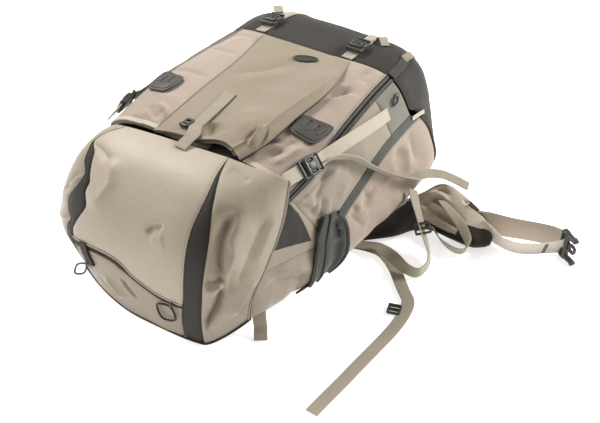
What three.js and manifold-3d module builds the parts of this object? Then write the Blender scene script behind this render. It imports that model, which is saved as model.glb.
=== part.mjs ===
// A camera backpack lying on its back: body, lid, front pocket, webbing, buckles and hip belt.
// Millimetres, +Z up. +X is the pack's right side, +Y its bottom end, -Y its lid end.
// The origin is on the flat pad of the back, where the pack rests.
import * as THREE from "three";
import { mergeVertices } from "three/addons/utils/BufferGeometryUtils.js";
import Module from "manifold-3d";

const wasm = await Module();
wasm.setup();

// Driving dimensions
const GAP = 0.6;
const CLOTH = 2.4;
const LINED = 5;
const STRIP = 4;
const PADDED = 7;
const STRIP_SINK = -0.6;
const WEB = { thick: 1.8, trim: 9, loop: 16, narrow: 20, lash: 25, belt: 40 };

// Sections of the body, from the lid end to the bottom end
const BODY = [
  { y: -240, halfWidth: 136, back: 14, front: 200, flare: 10 },
  { y: -150, halfWidth: 158, back: 12, front: 228, flare: 18 },
  { y: -40, halfWidth: 168, back: 12, front: 247, flare: 34 },
  { y: 90, halfWidth: 170, back: 12, front: 252, flare: 46 },
  { y: 215, halfWidth: 168, back: 12, front: 248, flare: 48 },
];
const SECTION = { upperPower: 4.6, lowerPower: 6, leftFlare: 0.3, leftWidth: 1.05, samples: 160 };
const DOME = { start: 215, depth: 118, arc: 210, power: 3.8, centre: 118 };
const NEAR_END = -200;
const COLLAR = { reach: 0.29, near: 0.005, gap: 0.012, drop: 9 };
const HALF_GIRTH = 520;
const SIDE_LENGTH = 415;

// Seam lines on the body: girth is 0 at the middle of the front and 1 at the middle of the back,
// length is 0 at the lid end and 1 at the seam of the bottom boot
const BOOT_SEAM = [
  { girth: -1, y: 225 },
  { girth: -0.62, y: 225 },
  { girth: -0.42, y: 208 },
  { girth: -0.25, y: 188 },
  { girth: 0, y: 188 },
  { girth: 0.12, y: 196 },
  { girth: 0.25, y: 207 },
  { girth: 0.37, y: 213 },
  { girth: 0.5, y: 244 },
  { girth: 0.65, y: 248 },
  { girth: 1, y: 225 },
];
const FRONT_ZIP = [
  { length: 0, girth: 0.335 },
  { length: 0.3, girth: 0.317 },
  { length: 0.58, girth: 0.288 },
  { length: 0.84, girth: 0.269 },
  { length: 1, girth: 0.261 },
];
const SIDE_ZIP = [
  { part: 0, length: 0.225, girth: 0.772 },
  { part: 0.09, length: 0.262, girth: 0.71 },
  { part: 0.2, length: 0.316, girth: 0.627 },
  { part: 0.3, length: 0.35, girth: 0.554 },
  { part: 0.39, length: 0.412, girth: 0.505 },
  { part: 0.57, length: 0.575, girth: 0.457 },
  { part: 0.76, length: 0.76, girth: 0.42 },
  { part: 1, length: 1, girth: 0.404 },
];
const FRONT_ZIP_HALF = 0.013;
const SIDE_ZIP_HALF = 7;
const BACK_EDGE = 0.78;
const FRONT_HEM = 0.215;
const SIDE_ZIP_STRIP = 6;
const SIDE_END = 0.99;
const YOKE = { length: 0.83, part: 0.83 };
const SIDE_PANEL = { stripStart: 0.02, zipStart: 0.09, backStart: 0.3 };
const SIDE_MOUTH = { length: 0.235, part: 0.3, hem: 0.5 };

// The lid: a front edge, a rounded end and side seams
const LID = {
  half: 110,
  frontEdge: -138,
  skew: 0.09,
  top: 249,
  crown: 16,
  end: -270,
  cornerRound: 30,
  reference: 165,
  middle: 95,
  low: 3,
  leftLift: 30,
  tuck: 10,
  power: 2.5,
  split: 0.7,
  length: 330,
  underfold: 1.25,
  hingeY: -204,
  hingeZ: 17,
};
const LID_SEAM = {
  1: [
    { t: 0, x: 168, y: -108, z: 226 },
    { t: 0.25, x: 175, y: -112, z: 172 },
    { t: 0.5, x: 177, y: -130, z: 115 },
    { t: 0.75, x: 172, y: -178, z: 70 },
    { t: 1, x: 166, y: -198, z: 24 },
  ],
  "-1": [
    { t: 0, x: -153, y: -148, z: 216 },
    { t: 0.25, x: -182, y: -153, z: 174 },
    { t: 0.5, x: -198, y: -164, z: 128 },
    { t: 0.75, x: -197, y: -188, z: 84 },
    { t: 1, x: -182, y: -204, z: 44 },
  ],
};
const GUSSET_RIGHT = [
  { t: 0, inner: 0.7, outer: 0.7 },
  { t: 0.045, inner: 0.735, outer: 0.755 },
  { t: 0.23, inner: 0.85, outer: 0.957 },
  { t: 0.43, inner: 0.845, outer: 1.087 },
  { t: 0.66, inner: 0.83, outer: 1.098 },
  { t: 0.87, inner: 0.74, outer: 1.06 },
  { t: 1, inner: 0.72, outer: 1.03 },
];
const GUSSET_LEFT = [
  { t: 0, inner: -0.9, outer: -0.9 },
  { t: 0.1, inner: -0.93, outer: -0.95 },
  { t: 0.25, inner: -0.955, outer: -1.03 },
  { t: 0.54, inner: -0.95, outer: -1.12 },
  { t: 0.7, inner: -0.98, outer: -1.2 },
  { t: 1, inner: -0.88, outer: -1.1 },
];
const GUSSET_TIP = 0.05;
const LID_ZIP = [
  { a: -1, t: 0.69 },
  { a: -0.54, t: 0.68 },
  { a: -0.2, t: 0.691 },
  { a: 0.12, t: 0.736 },
  { a: 0.44, t: 0.768 },
  { a: 0.9, t: 0.772 },
];
const LID_ZIP_HALF = 0.014;
const LID_DARTS = [
  { a: 1.27, width: 0.1, depth: 9, from: 0.2, to: 0.72 },
  { a: 1.2, width: 0.08, depth: 7, from: 0.66, to: 1.02 },
  { a: -1.5, width: 0.14, depth: 6, from: 0.15, to: 0.75 },
  { a: 0.42, width: 0.16, depth: 5, from: 0.36, to: 0.62 },
];

// The front pocket: an outer sheet over the front, open towards the lid
const POCKET = [
  { t: 0, left: -0.151, right: 0.145 },
  { t: 0.3, left: -0.12, right: 0.185 },
  { t: 0.6, left: -0.115, right: 0.2 },
  { t: 0.85, left: -0.12, right: 0.197 },
  { t: 1, left: -0.128, right: 0.172 },
];
const POCKET_LENGTH = { far: 186, near: -122 };
const POCKET_RISE = { sewn: 3.4, side: 13, mouth: 13 };

// Hip belt wing: each row is a section, with the pad's middle at its near and far edges
const WING = [
  { nearX: 182, nearY: 76, nearZ: 5.5, farX: 182, farY: 196, farZ: 5.5, thick: 7 },
  { nearX: 218, nearY: 108, nearZ: 9, farX: 221, farY: 206, farZ: 20, thick: 15 },
  { nearX: 240, nearY: 138, nearZ: 11, farX: 238, farY: 217, farZ: 38, thick: 19 },
  { nearX: 264, nearY: 152, nearZ: 12, farX: 258, farY: 222, farZ: 44, thick: 20 },
  { nearX: 300, nearY: 150, nearZ: 12, farX: 290, farY: 216, farZ: 39, thick: 20 },
  { nearX: 336, nearY: 149, nearZ: 12, farX: 328, farY: 202, farZ: 33, thick: 19 },
  { nearX: 354, nearY: 158, nearZ: 13, farX: 350, farY: 188, farZ: 29, thick: 16 },
  { nearX: 362, nearY: 165, nearZ: 15, farX: 362, farY: 176, farZ: 24, thick: 9 },
];
const WING_LEFT_SHIFT = 28;

// Shoulder strap: each row is a section of the pad that lies under the pack
const SHOULDER = [
  { x: 62, y: -196, width: 44 },
  { x: 72, y: -160, width: 62 },
  { x: 96, y: -90, width: 70 },
  { x: 112, y: 0, width: 66 },
  { x: 112, y: 80, width: 56 },
  { x: 104, y: 128, width: 40 },
];
const SHOULDER_PAD = { low: 0.4, thick: 10.2 };
const BACK_PAD = { halfWidth: 26, near: -150, far: 190, corner: 20, thick: 16 };

// Hardware
const BUCKLE = { margin: 9, aspect: 2, thick: 9, corner: 5, slot: 5, window: 3, windowPart: 0.55, inset: 6 };
const OPEN_BUCKLE = { margin: 12, bar: 16, prong: 6, prongLength: 24, reach: 16, ring: 16, ringHole: 8 };
const LOCK = { margin: 7, length: 20, slot: 4, spread: 4.5, thick: 4, corner: 3 };
const BADGE = { halfWidth: 8, halfLength: 17, thick: 2, s: 0.55, t: 0.13 };
const LASH_PATCH = { width: 50, length: 48, corner: 15, slot: 5, slotLength: 20, spread: 7, thick: 3 };
const PULL_CORD = 1.7;
const PULLS = [
  { name: "front_pull_right", girth: 0.31, length: 0.95, turn: 200, width: 8, loop: 20 },
  { name: "side_pull_right", part: 0.36, turn: -70, width: 10, loop: 24 },
  { name: "side_pull_low_right", part: 0.1, turn: -110, width: 10, loop: 22 },
];
const LID_PULLS = [
  { name: "lid_pull_right", a: 0.62, turn: -25, width: 22, loop: 22 },
  { name: "lid_pull_left", a: -0.9, turn: 40, width: 9, loop: 30 },
];
const LID_STRAP = {
  sewn: { girth: 0.332, length: 0.845 },
  end: { girth: 0.308, length: 0.42 },
  buckle: { girth: 0.302, length: 0.352, turn: -8 },
  tabFar: { girth: 0.297, length: 0.288 },
  tabNear: { girth: 0.292, length: 0.235 },
};
const LASH = { right: 0.125, left: -0.176, near: 194, far: 330, buckle: 218 };
const PATCHES = [
  { side: 1, name: "right", girth: 0.232, length: 0.497 },
  { side: -1, name: "left", girth: 0.232, length: 0.475 },
];
const FRONT_STRAP = { far: { girth: 0.3, length: 0.617 }, near: { girth: 0.4, length: 0.93 } };
const FRONT_LOCK = { s: 0.25, t: 0.93, webbing: 12 };
const HIP_BUCKLE = { x: 468, y: 224, z: 27, turn: -123 };
const SHOULDER_CLIP = { x: 297, y: -41, z: 1, turn: 17, webbing: 14 };

// Free webbing: points of each route with the roll of the band about its own line, in degrees
const SHOULDER_WEB = [
  { x: 150, y: 56, z: 3, roll: 0 },
  { x: 176, y: 62, z: 3, roll: 0 },
  { x: 200, y: 66, z: 4, roll: 0 },
  { x: 222, y: 66, z: 5, roll: 4 },
  { x: 244, y: 54, z: 6, roll: 6 },
  { x: 264, y: 38, z: 5, roll: 4 },
  { x: 282, y: 20, z: 4, roll: 2 },
  { x: 298, y: 4, z: 4, roll: 0 },
  { x: 311, y: -8, z: 3, roll: 0 },
  { x: 318, y: -24, z: 2.6, roll: 0 },
  { x: 322, y: -48, z: 2, roll: 0 },
  { x: 323, y: -80, z: 1.6, roll: 0 },
  { x: 321, y: -120, z: 1.5, roll: 0 },
  { x: 318, y: -165, z: 1.5, roll: 0 },
  { x: 316, y: -205, z: 1.5, roll: 0 },
  { x: 313, y: -245, z: 1.5, roll: 0 },
  { x: 311, y: -278, z: 1.5, roll: 0 },
];
const BELT_LOOP = [
  { x: 178, y: 61, z: 7.5, roll: 0 },
  { x: 194, y: 64, z: 9, roll: 0 },
  { x: 214, y: 66, z: 14, roll: 0 },
  { x: 238, y: 57, z: 18, roll: 8 },
  { x: 262, y: 46, z: 19, roll: 30 },
  { x: 282, y: 40, z: 16.5, roll: 55 },
  { x: 298, y: 46, z: 12.5, roll: 75 },
  { x: 302, y: 66, z: 13, roll: 75 },
  { x: 296, y: 86, z: 15, roll: 70 },
  { x: 284, y: 102, z: 20, roll: 60 },
  { x: 272, y: 114, z: 27, roll: 40 },
  { x: 264, y: 121, z: 34, roll: 28 },
  { x: 255, y: 130, z: 41, roll: 20 },
  { x: 246, y: 139, z: 47, roll: 15 },
  { x: 236, y: 149, z: 53, roll: 10 },
  { x: 227, y: 159, z: 59, roll: 5 },
  { x: 219, y: 168, z: 65, roll: 0 },
];
const BELT_LOCK_ROW = 11;
const BELT_LOCK_DROP = 4;
const WING_LOOP = [
  { x: 262, y: 188, z: 48, roll: -20 },
  { x: 286, y: 176, z: 44, roll: 0 },
  { x: 308, y: 164, z: 39, roll: 20 },
  { x: 324, y: 152, z: 33, roll: 45 },
  { x: 334, y: 144, z: 24, roll: 60 },
  { x: 335, y: 134, z: 15, roll: 65 },
  { x: 326, y: 128, z: 12, roll: 70 },
  { x: 311, y: 129, z: 12, roll: 70 },
  { x: 295, y: 135, z: 12, roll: 65 },
];
const TAIL = [
  { x: 177, y: -34, z: 226, roll: -70 },
  { x: 183, y: -8, z: 224, roll: -64 },
  { x: 190, y: 24, z: 213, roll: -58 },
  { x: 196, y: 58, z: 195, roll: -58 },
  { x: 202, y: 92, z: 170, roll: -60 },
  { x: 209, y: 124, z: 140, roll: -62 },
  { x: 214, y: 150, z: 110, roll: -62 },
  { x: 218, y: 174, z: 88, roll: -50 },
  { x: 222, y: 196, z: 76, roll: -34 },
  { x: 229, y: 214, z: 69, roll: -20 },
  { x: 242, y: 229, z: 63, roll: -10 },
  { x: 260, y: 239, z: 58, roll: -4 },
  { x: 282, y: 246, z: 52, roll: 0 },
];
const BELT_WEB = [
  { x: 352, y: 209, z: 24, roll: 84 },
  { x: 372, y: 216, z: 22, roll: 87 },
  { x: 394, y: 224, z: 21, roll: 90 },
  { x: 418, y: 231, z: 21, roll: 90 },
  { x: 438, y: 235, z: 21, roll: 90 },
  { x: 449, y: 233, z: 21, roll: 90 },
  { x: 454, y: 226, z: 21, roll: 90 },
  { x: 450, y: 216, z: 21, roll: 90 },
  { x: 440, y: 203, z: 21, roll: 90 },
  { x: 424, y: 188, z: 21, roll: 90 },
  { x: 404, y: 178, z: 21, roll: 90 },
  { x: 384, y: 176, z: 21, roll: 90 },
  { x: 367, y: 180, z: 22, roll: 88 },
];
const FRONT_STRAP_END = [
  { x: 10, y: -124, z: 259 },
  { x: 9, y: -138, z: 255.5 },
  { x: 8, y: -154, z: 251.5 },
];
const POCKET_TRIM = [
  { x: 34, y: -126, z: 239, roll: 0 },
  { x: 50, y: -128, z: 243, roll: 0 },
  { x: 66, y: -127, z: 244, roll: 0 },
  { x: 80, y: -125, z: 243, roll: 0 },
  { x: 92, y: -122, z: 239, roll: 0 },
];
const FLOOR_TAB = [
  { x: 160, y: -183, z: 21, roll: 0 },
  { x: 164, y: -187, z: 13, roll: 0 },
  { x: 168, y: -193, z: 6, roll: 0 },
  { x: 174, y: -201, z: 1.8, roll: 0 },
];

// Finishes
const finish = (color, roughness = 0.85) => new THREE.MeshStandardMaterial({ color, roughness });
const CLOTHS = {
  lid: finish(0xb3a793, 0.6),
  rose: finish(0xad9b8b),
  olive: finish(0x9c8d75, 0.75),
  charcoal: finish(0x3d3a34),
  grey: finish(0x625e56),
  webbing: finish(0xb3a78f),
  pale: finish(0xc6bba4),
  rubber: finish(0x55554c, 0.5),
  plastic: finish(0x2b2926, 0.4),
};

// Smooth value of a column at a place along a table's key column
function along(table, key, column, at) {
  const last = table.length - 1;
  let i = 0;
  while (i < last - 1 && at > table[i + 1][key]) i += 1;
  const slope = (k) => {
    const before = table[Math.max(k - 1, 0)];
    const after = table[Math.min(k + 1, last)];
    return (after[column] - before[column]) / (after[key] - before[key]);
  };
  const [a, b] = [table[i], table[i + 1]];
  const span = b[key] - a[key];
  const u = THREE.MathUtils.clamp((at - a[key]) / span, 0, 1);
  const rise = u * u * (3 - 2 * u);
  const leave = u * (1 - u) * (1 - u) * span * slope(i);
  const arrive = u * u * (u - 1) * span * slope(i + 1);
  return a[column] + (b[column] - a[column]) * rise + leave + arrive;
}

const lerp = THREE.MathUtils.lerp;
const smoothstep = (x, low, high) => THREE.MathUtils.smoothstep(x, low, high);
const vector = (x, y, z) => new THREE.Vector3(x, y, z);
const signedPower = (value, power) => Math.sign(value) * Math.abs(value) ** power;

// Half of the body's section at one place along it, from the middle of the front to that of the back
const sectionCache = new Map();
function bodySection(y, side) {
  const name = `${side} ${y.toFixed(3)}`;
  if (sectionCache.has(name)) return sectionCache.get(name);
  const [width, back, front] = ["halfWidth", "back", "front"].map((c) => along(BODY, "y", c, y));
  const flare = along(BODY, "y", "flare", y) * (side > 0 ? 1 : SECTION.leftFlare);
  const points = [];
  let run = 0;
  for (let i = 0; i <= SECTION.samples; i += 1) {
    const angle = (Math.PI * i) / SECTION.samples;
    const power = 2 / (angle < Math.PI / 2 ? SECTION.upperPower : SECTION.lowerPower);
    const z = (back + front) / 2 + ((front - back) / 2) * signedPower(Math.cos(angle), power);
    const reach = width * (side > 0 ? 1 : SECTION.leftWidth) + (flare * (front - z)) / (front - back);
    const x = side * reach * signedPower(Math.sin(angle), power);
    if (i) run += Math.hypot(x - points[i - 1].x, z - points[i - 1].z);
    points.push({ x, z, run });
  }
  sectionCache.set(name, points);
  return points;
}

function alongSection(points, part) {
  const at = part * points.at(-1).run;
  let i = 1;
  while (i < points.length - 1 && points[i].run < at) i += 1;
  const u = (at - points[i - 1].run) / (points[i].run - points[i - 1].run);
  return { x: lerp(points[i - 1].x, points[i].x, u), z: lerp(points[i - 1].z, points[i].z, u) };
}

// A point of the body by girth and by distance along it, with the bottom end closed by a dome
function bodyPoint(girth, v) {
  const y = Math.min(v, DOME.start);
  const { x, z } = alongSection(bodySection(y, girth < 0 ? -1 : 1), Math.min(Math.abs(girth), 1));
  if (v <= DOME.start) return vector(x, y, z);
  const turn = Math.min((v - DOME.start) / DOME.arc, 1) * (Math.PI / 2);
  const shrink = Math.max(Math.cos(turn), 0) ** (2 / DOME.power);
  const reach = DOME.depth * Math.sin(turn) ** (2 / DOME.power);
  return vector(x * shrink, DOME.start + reach, DOME.centre + (z - DOME.centre) * shrink);
}

const bootSeam = (girth) => along(BOOT_SEAM, "girth", "y", girth);
const packPoint = (girth, length) => bodyPoint(girth, lerp(NEAR_END, bootSeam(girth), length));
const bootPoint = (girth, part) => bodyPoint(girth, lerp(bootSeam(girth) + GAP, DOME.start + DOME.arc, part));

// Middle of the lid: a profile from the front edge over the top, down the end and under to the back
function lidMiddle(x, t) {
  const corner = Math.abs(x / LID.reference) ** 4;
  const edge = LID.frontEdge + LID.skew * x;
  const top = LID.top - LID.crown * corner;
  const end = LID.end + LID.cornerRound * corner;
  if (t < LID.split) {
    const turn = (t / LID.split) * (Math.PI / 2);
    const power = 2 / LID.power;
    const y = edge + (end - edge) * Math.sin(turn) ** power;
    const z = LID.middle + (top - LID.middle) * Math.max(Math.cos(turn), 0) ** power;
    return vector(x, y, z);
  }
  const u = (t - LID.split) / (1 - LID.split);
  const low = LID.low + LID.leftLift * Math.max(-x / LID.half, 0) ** 2;
  if (t <= 1) return vector(x, end + LID.tuck * u * u, lerp(LID.middle, low, u));
  const under = (t - 1) / (LID.underfold - 1);
  return vector(x, lerp(end + LID.tuck, LID.hingeY, under), lerp(low, LID.hingeZ, under));
}

// The whole lid before its folds: beyond the middle it turns round the corner to its side seam
function lidSmooth(a, t) {
  if (Math.abs(a) <= 1) return lidMiddle(a * LID.half, t);
  const side = Math.sign(a);
  const u = Math.abs(a) - 1;
  const start = lidMiddle(side * LID.half, t);
  const leave = start.clone().sub(lidMiddle(side * (LID.half - 1), t));
  const seam = LID_SEAM[side];
  const end = vector(...["x", "y", "z"].map((c) => along(seam, "t", c, t)));
  const span = start.distanceTo(end) * (1.1 - 0.55 * smoothstep(t, 0.6, 1));
  const turn = THREE.MathUtils.degToRad(20 + 70 * Math.min(t / 0.35, 1));
  const arrive = vector(0, Math.sin(turn), -Math.cos(turn));
  const rise = u * u * (3 - 2 * u);
  return start
    .clone()
    .lerp(end, rise)
    .addScaledVector(leave, span * u * (1 - u) * (1 - u))
    .addScaledVector(arrive, span * u * u * (u - 1));
}

const CORE = vector(0, 30, 120);

function surfaceNormal(surface, s, t, step = 0.004) {
  const [s0, s1] = [Math.max(s - step, 0), Math.min(s + step, 1)];
  const [t0, t1] = [Math.max(t - step, 0), Math.min(t + step, 1)];
  const across = surface(s1, t).sub(surface(s0, t));
  const lengthwise = surface(s, t1).sub(surface(s, t0));
  return across.cross(lengthwise).normalize();
}

// The folds of the lid push its cloth inwards along short lines
const LID_PATCH = (a, t) => lidSmooth(lerp(-2, 2, a), t);
function lidPoint(a, t) {
  const point = lidSmooth(a, t);
  let depth = 0;
  for (const dart of LID_DARTS) {
    const nearness = Math.exp(-(((a - dart.a) / dart.width) ** 2));
    const reach = THREE.MathUtils.clamp((t - dart.from) / (dart.to - dart.from), 0, 1);
    depth += dart.depth * nearness * Math.sin(Math.PI * reach) ** 2;
  }
  if (depth < 0.05) return point;
  const inner = THREE.MathUtils.clamp((a + 2) / 4, 0.01, 0.99);
  const normal = surfaceNormal(LID_PATCH, inner, THREE.MathUtils.clamp(t, 0.01, 0.99));
  if (normal.dot(point.clone().sub(CORE)) < 0) normal.negate();
  return point.addScaledVector(normal, -depth);
}

// Welds a triangle soup and drops the triangles that have no area
function weld(positions, indices) {
  const raw = new THREE.BufferGeometry();
  raw.setAttribute("position", new THREE.Float32BufferAttribute(positions, 3));
  raw.setIndex(indices);
  const welded = mergeVertices(raw, 1e-3);
  const kept = [];
  const index = welded.index.array;
  for (let i = 0; i < index.length; i += 3) {
    const [a, b, c] = [index[i], index[i + 1], index[i + 2]];
    if (a !== b && b !== c && c !== a) kept.push(a, b, c);
  }
  welded.setIndex(kept);
  return welded;
}

// A closed sheet of even thickness over a surface of the unit square; a ring joins its two ends
function sheetGeometry(surface, { columns, rows, thick, lift = 0, ring = false, pole = false }) {
  const positions = [];
  const indices = [];
  const middle = surface(0.5, 0.5);
  const outward = Math.sign(surfaceNormal(surface, 0.5, 0.5).dot(middle.clone().sub(CORE))) || 1;
  const place = (layer, i, j) => (layer * (columns + 1) + i) * (rows + 1) + j;
  for (const layer of [0, 1]) {
    for (let i = 0; i <= columns; i += 1) {
      for (let j = 0; j <= rows; j += 1) {
        const s = ring && i === columns ? 0 : i / columns;
        const t = j / rows;
        const near = pole ? Math.min(t, 0.985) : t;
        const normal = pole && j === rows ? vector(0, outward, 0) : surfaceNormal(surface, s, near);
        const liftHere = typeof lift === "function" ? lift(s, t) : lift;
        const point = surface(s, t).addScaledVector(normal, outward * (liftHere - layer * thick));
        positions.push(point.x, point.y, point.z);
      }
    }
  }
  const quad = (a, b, c, d) => {
    if (outward > 0) indices.push(a, b, c, a, c, d);
    else indices.push(a, c, b, a, d, c);
  };
  for (let i = 0; i < columns; i += 1) {
    for (let j = 0; j < rows; j += 1) {
      quad(place(0, i, j), place(0, i + 1, j), place(0, i + 1, j + 1), place(0, i, j + 1));
      quad(place(1, i, j), place(1, i, j + 1), place(1, i + 1, j + 1), place(1, i + 1, j));
    }
  }
  for (let i = 0; i < columns; i += 1) {
    quad(place(0, i, 0), place(1, i, 0), place(1, i + 1, 0), place(0, i + 1, 0));
    if (!pole) quad(place(0, i, rows), place(0, i + 1, rows), place(1, i + 1, rows), place(1, i, rows));
  }
  for (let j = 0; j < rows && !ring; j += 1) {
    quad(place(0, 0, j), place(0, 0, j + 1), place(1, 0, j + 1), place(1, 0, j));
    quad(place(0, columns, j), place(1, columns, j), place(1, columns, j + 1), place(0, columns, j + 1));
  }
  return weld(positions, indices);
}

// A closed solid through rings of points that all turn the same way; a loop joins its two ends
function loftGeometry(rings, loop = false) {
  const sides = rings[0].length;
  const positions = rings.flat().flatMap((p) => [p.x, p.y, p.z]);
  const indices = [];
  const spans = loop ? rings.length : rings.length - 1;
  for (let i = 0; i < spans; i += 1) {
    for (let j = 0; j < sides; j += 1) {
      const [a, b] = [i * sides + j, i * sides + ((j + 1) % sides)];
      const next = ((i + 1) % rings.length) * sides;
      const [c, d] = [next + ((j + 1) % sides), next + j];
      indices.push(a, b, c, a, c, d);
    }
  }
  const lastRing = (rings.length - 1) * sides;
  for (let j = 1; j < sides - 1 && !loop; j += 1) {
    indices.push(0, j + 1, j, lastRing, lastRing + j, lastRing + j + 1);
  }
  return weld(positions, indices);
}

// A flat band along points, each with the direction that its face looks
function bandGeometry(points, normals, width, thick) {
  const rings = points.map((point, i) => {
    const before = points[Math.max(i - 1, 0)];
    const after = points[Math.min(i + 1, points.length - 1)];
    const tangent = after.clone().sub(before).normalize();
    const across = tangent.clone().cross(normals[i]).normalize();
    const face = across.clone().cross(tangent).normalize();
    const corner = (u, w) => point.clone().addScaledVector(across, u).addScaledVector(face, w);
    const [u, w] = [width / 2, thick / 2];
    return [corner(-u, -w), corner(-u, w), corner(u, w), corner(u, -w)];
  });
  return loftGeometry(rings);
}

// Place, facing and direction of a free band at one row of its route
function routeFrame(route, row) {
  const at = (i) => vector(route[i].x, route[i].y, route[i].z);
  const lengthwise = at(Math.min(row + 1, route.length - 1)).sub(at(Math.max(row - 1, 0))).normalize();
  const level = lengthwise.clone().cross(vector(0, 0, 1)).normalize();
  const normal = level.clone().cross(lengthwise).normalize();
  normal.applyAxisAngle(lengthwise, THREE.MathUtils.degToRad(route[row].roll));
  return { place: at(row), normal, lengthwise };
}

// A route with a point added halfway along each of its spans, on the curve through its neighbours
function refined(route) {
  const last = route.length - 1;
  const rows = [route[0]];
  for (let i = 0; i < last; i += 1) {
    const [before, after] = [route[Math.max(i - 1, 0)], route[Math.min(i + 2, last)]];
    const middle = (c) => (9 * (route[i][c] + route[i + 1][c]) - before[c] - after[c]) / 16;
    rows.push({ x: middle("x"), y: middle("y"), z: middle("z"), roll: middle("roll") }, route[i + 1]);
  }
  return rows;
}

// A free band: its face turns about its own line by each point's roll
function freeBand(route, width, thick) {
  const frames = route.map((_, i) => routeFrame(route, i));
  return bandGeometry(frames.map((f) => f.place), frames.map((f) => f.normal), width, thick);
}

// Points and facings of a line laid on a surface from one place to another, kept clear of it
function layPoints(from, to, steps, clearance, point) {
  const points = [];
  const normals = [];
  for (let i = 0; i <= steps; i += 1) {
    const u = i / steps;
    const girth = lerp(from.girth, to.girth, u);
    const length = lerp(from.length, to.length, u);
    const frame = surfaceFrame(point, girth, length);
    points.push(frame.place.addScaledVector(frame.normal, clearance + WEB.thick / 2));
    normals.push(frame.normal);
  }
  return { points, normals };
}

function layBand(from, to, steps, width, clearance, point = packPoint) {
  const { points, normals } = layPoints(from, to, steps, clearance, point);
  return bandGeometry(points, normals, width, WEB.thick);
}

// Place, outward normal and lengthwise direction at a point of a surface
function surfaceFrame(point, u, v, step = 0.01) {
  const place = point(u, v);
  const across = point(u + step, v).sub(point(u - step, v));
  const lengthwise = point(u, v + step).sub(point(u, v - step)).normalize();
  const normal = across.cross(lengthwise).normalize();
  if (normal.dot(place.clone().sub(CORE)) < 0) normal.negate();
  return { place, normal, lengthwise };
}

// Turns a piece drawn flat (y along it, z outwards) to a place on a surface
function settle(geometry, frame, clearance, turn = 0) {
  const y = frame.lengthwise.clone().applyAxisAngle(frame.normal, THREE.MathUtils.degToRad(turn));
  const x = y.clone().cross(frame.normal).normalize();
  const origin = frame.place.clone().addScaledVector(frame.normal, clearance);
  const basis = new THREE.Matrix4().makeBasis(x, y, frame.normal).setPosition(origin);
  return geometry.applyMatrix4(basis);
}

// Turns a piece about the vertical, in degrees, and moves it to its place
function placed(geometry, { x, y, z, turn }) {
  return geometry.rotateZ(THREE.MathUtils.degToRad(turn)).translate(x, y, z);
}

function plain(geometry) {
  const bare = geometry.clone();
  bare.deleteAttribute("normal");
  bare.deleteAttribute("uv");
  const whole = bare.index ? bare : mergeVertices(bare, 1e-3);
  return weld(whole.attributes.position.array, Array.from(whole.index.array));
}

function toSolid(geometry) {
  const mesh = plain(geometry);
  const vertProperties = new Float32Array(mesh.attributes.position.array);
  const triVerts = new Uint32Array(mesh.index.array);
  return new wasm.Manifold(new wasm.Mesh({ numProp: 3, vertProperties, triVerts }));
}

function toGeometry(solid) {
  const mesh = solid.getMesh();
  const geometry = new THREE.BufferGeometry();
  geometry.setAttribute("position", new THREE.Float32BufferAttribute(mesh.vertProperties, 3));
  geometry.setIndex(Array.from(mesh.triVerts));
  return geometry;
}

const joined = (first, ...rest) => toGeometry(rest.reduce((sum, g) => sum.add(toSolid(g)), toSolid(first)));

function boxAt(width, length, height, x, y, z) {
  return plain(new THREE.BoxGeometry(width, length, height).translate(x, y, z));
}

// A flat outline with rounded corners
function roundedOutline(width, length, corner, x = 0, y = 0) {
  const [w, l] = [width / 2, length / 2];
  const shape = new THREE.Shape();
  shape.moveTo(x - w + corner, y - l);
  shape.lineTo(x + w - corner, y - l);
  shape.absarc(x + w - corner, y - l + corner, corner, -Math.PI / 2, 0);
  shape.lineTo(x + w, y + l - corner);
  shape.absarc(x + w - corner, y + l - corner, corner, 0, Math.PI / 2);
  shape.lineTo(x - w + corner, y + l);
  shape.absarc(x - w + corner, y + l - corner, corner, Math.PI / 2, Math.PI);
  shape.lineTo(x - w, y - l + corner);
  shape.absarc(x - w + corner, y - l + corner, corner, Math.PI, 1.5 * Math.PI);
  return shape;
}

function plate(shape, depth, segments = 1) {
  const options = { depth, bevelEnabled: false, curveSegments: segments };
  return plain(new THREE.ExtrudeGeometry(shape, options));
}

// A fastened side-release buckle for webbing of the given width: two slots and two side windows
function fastenedBuckle(webbing) {
  const [width, length] = [webbing + BUCKLE.margin, webbing * BUCKLE.aspect];
  const outline = roundedOutline(width, length, BUCKLE.corner);
  for (const end of [-1, 1]) {
    const slotPlace = end * (length / 2 - BUCKLE.inset);
    outline.holes.push(roundedOutline(webbing + 2, BUCKLE.slot, 1.5, 0, slotPlace));
    const windowPlace = end * (width / 2 - BUCKLE.inset);
    outline.holes.push(roundedOutline(BUCKLE.window, webbing * BUCKLE.windowPart, 1, windowPlace, 0));
  }
  return plate(outline, BUCKLE.thick);
}

// One half of an open side-release buckle: a slotted bar with two prongs and a ring between them
function openBuckle(webbing) {
  const { margin, bar, prong, prongLength, reach, ring, ringHole } = OPEN_BUCKLE;
  const width = webbing + margin;
  const barOutline = roundedOutline(width, bar, 4);
  barOutline.holes.push(roundedOutline(webbing + 2, BUCKLE.slot, 1.5, 0, -1));
  const spread = (width - prong) / 2 - 2;
  const prongAt = (x) => plate(roundedOutline(prong, prongLength, 2.5, x, reach), BUCKLE.thick);
  const prongs = [-spread, spread].map(prongAt);
  const ringOutline = roundedOutline(ring, ring + 2, 6, 0, reach);
  ringOutline.holes.push(roundedOutline(ringHole, ringHole + 1, 3, 0, reach + 1));
  return joined(plate(barOutline, BUCKLE.thick), ...prongs, plate(ringOutline, BUCKLE.thick * 0.6));
}

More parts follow.
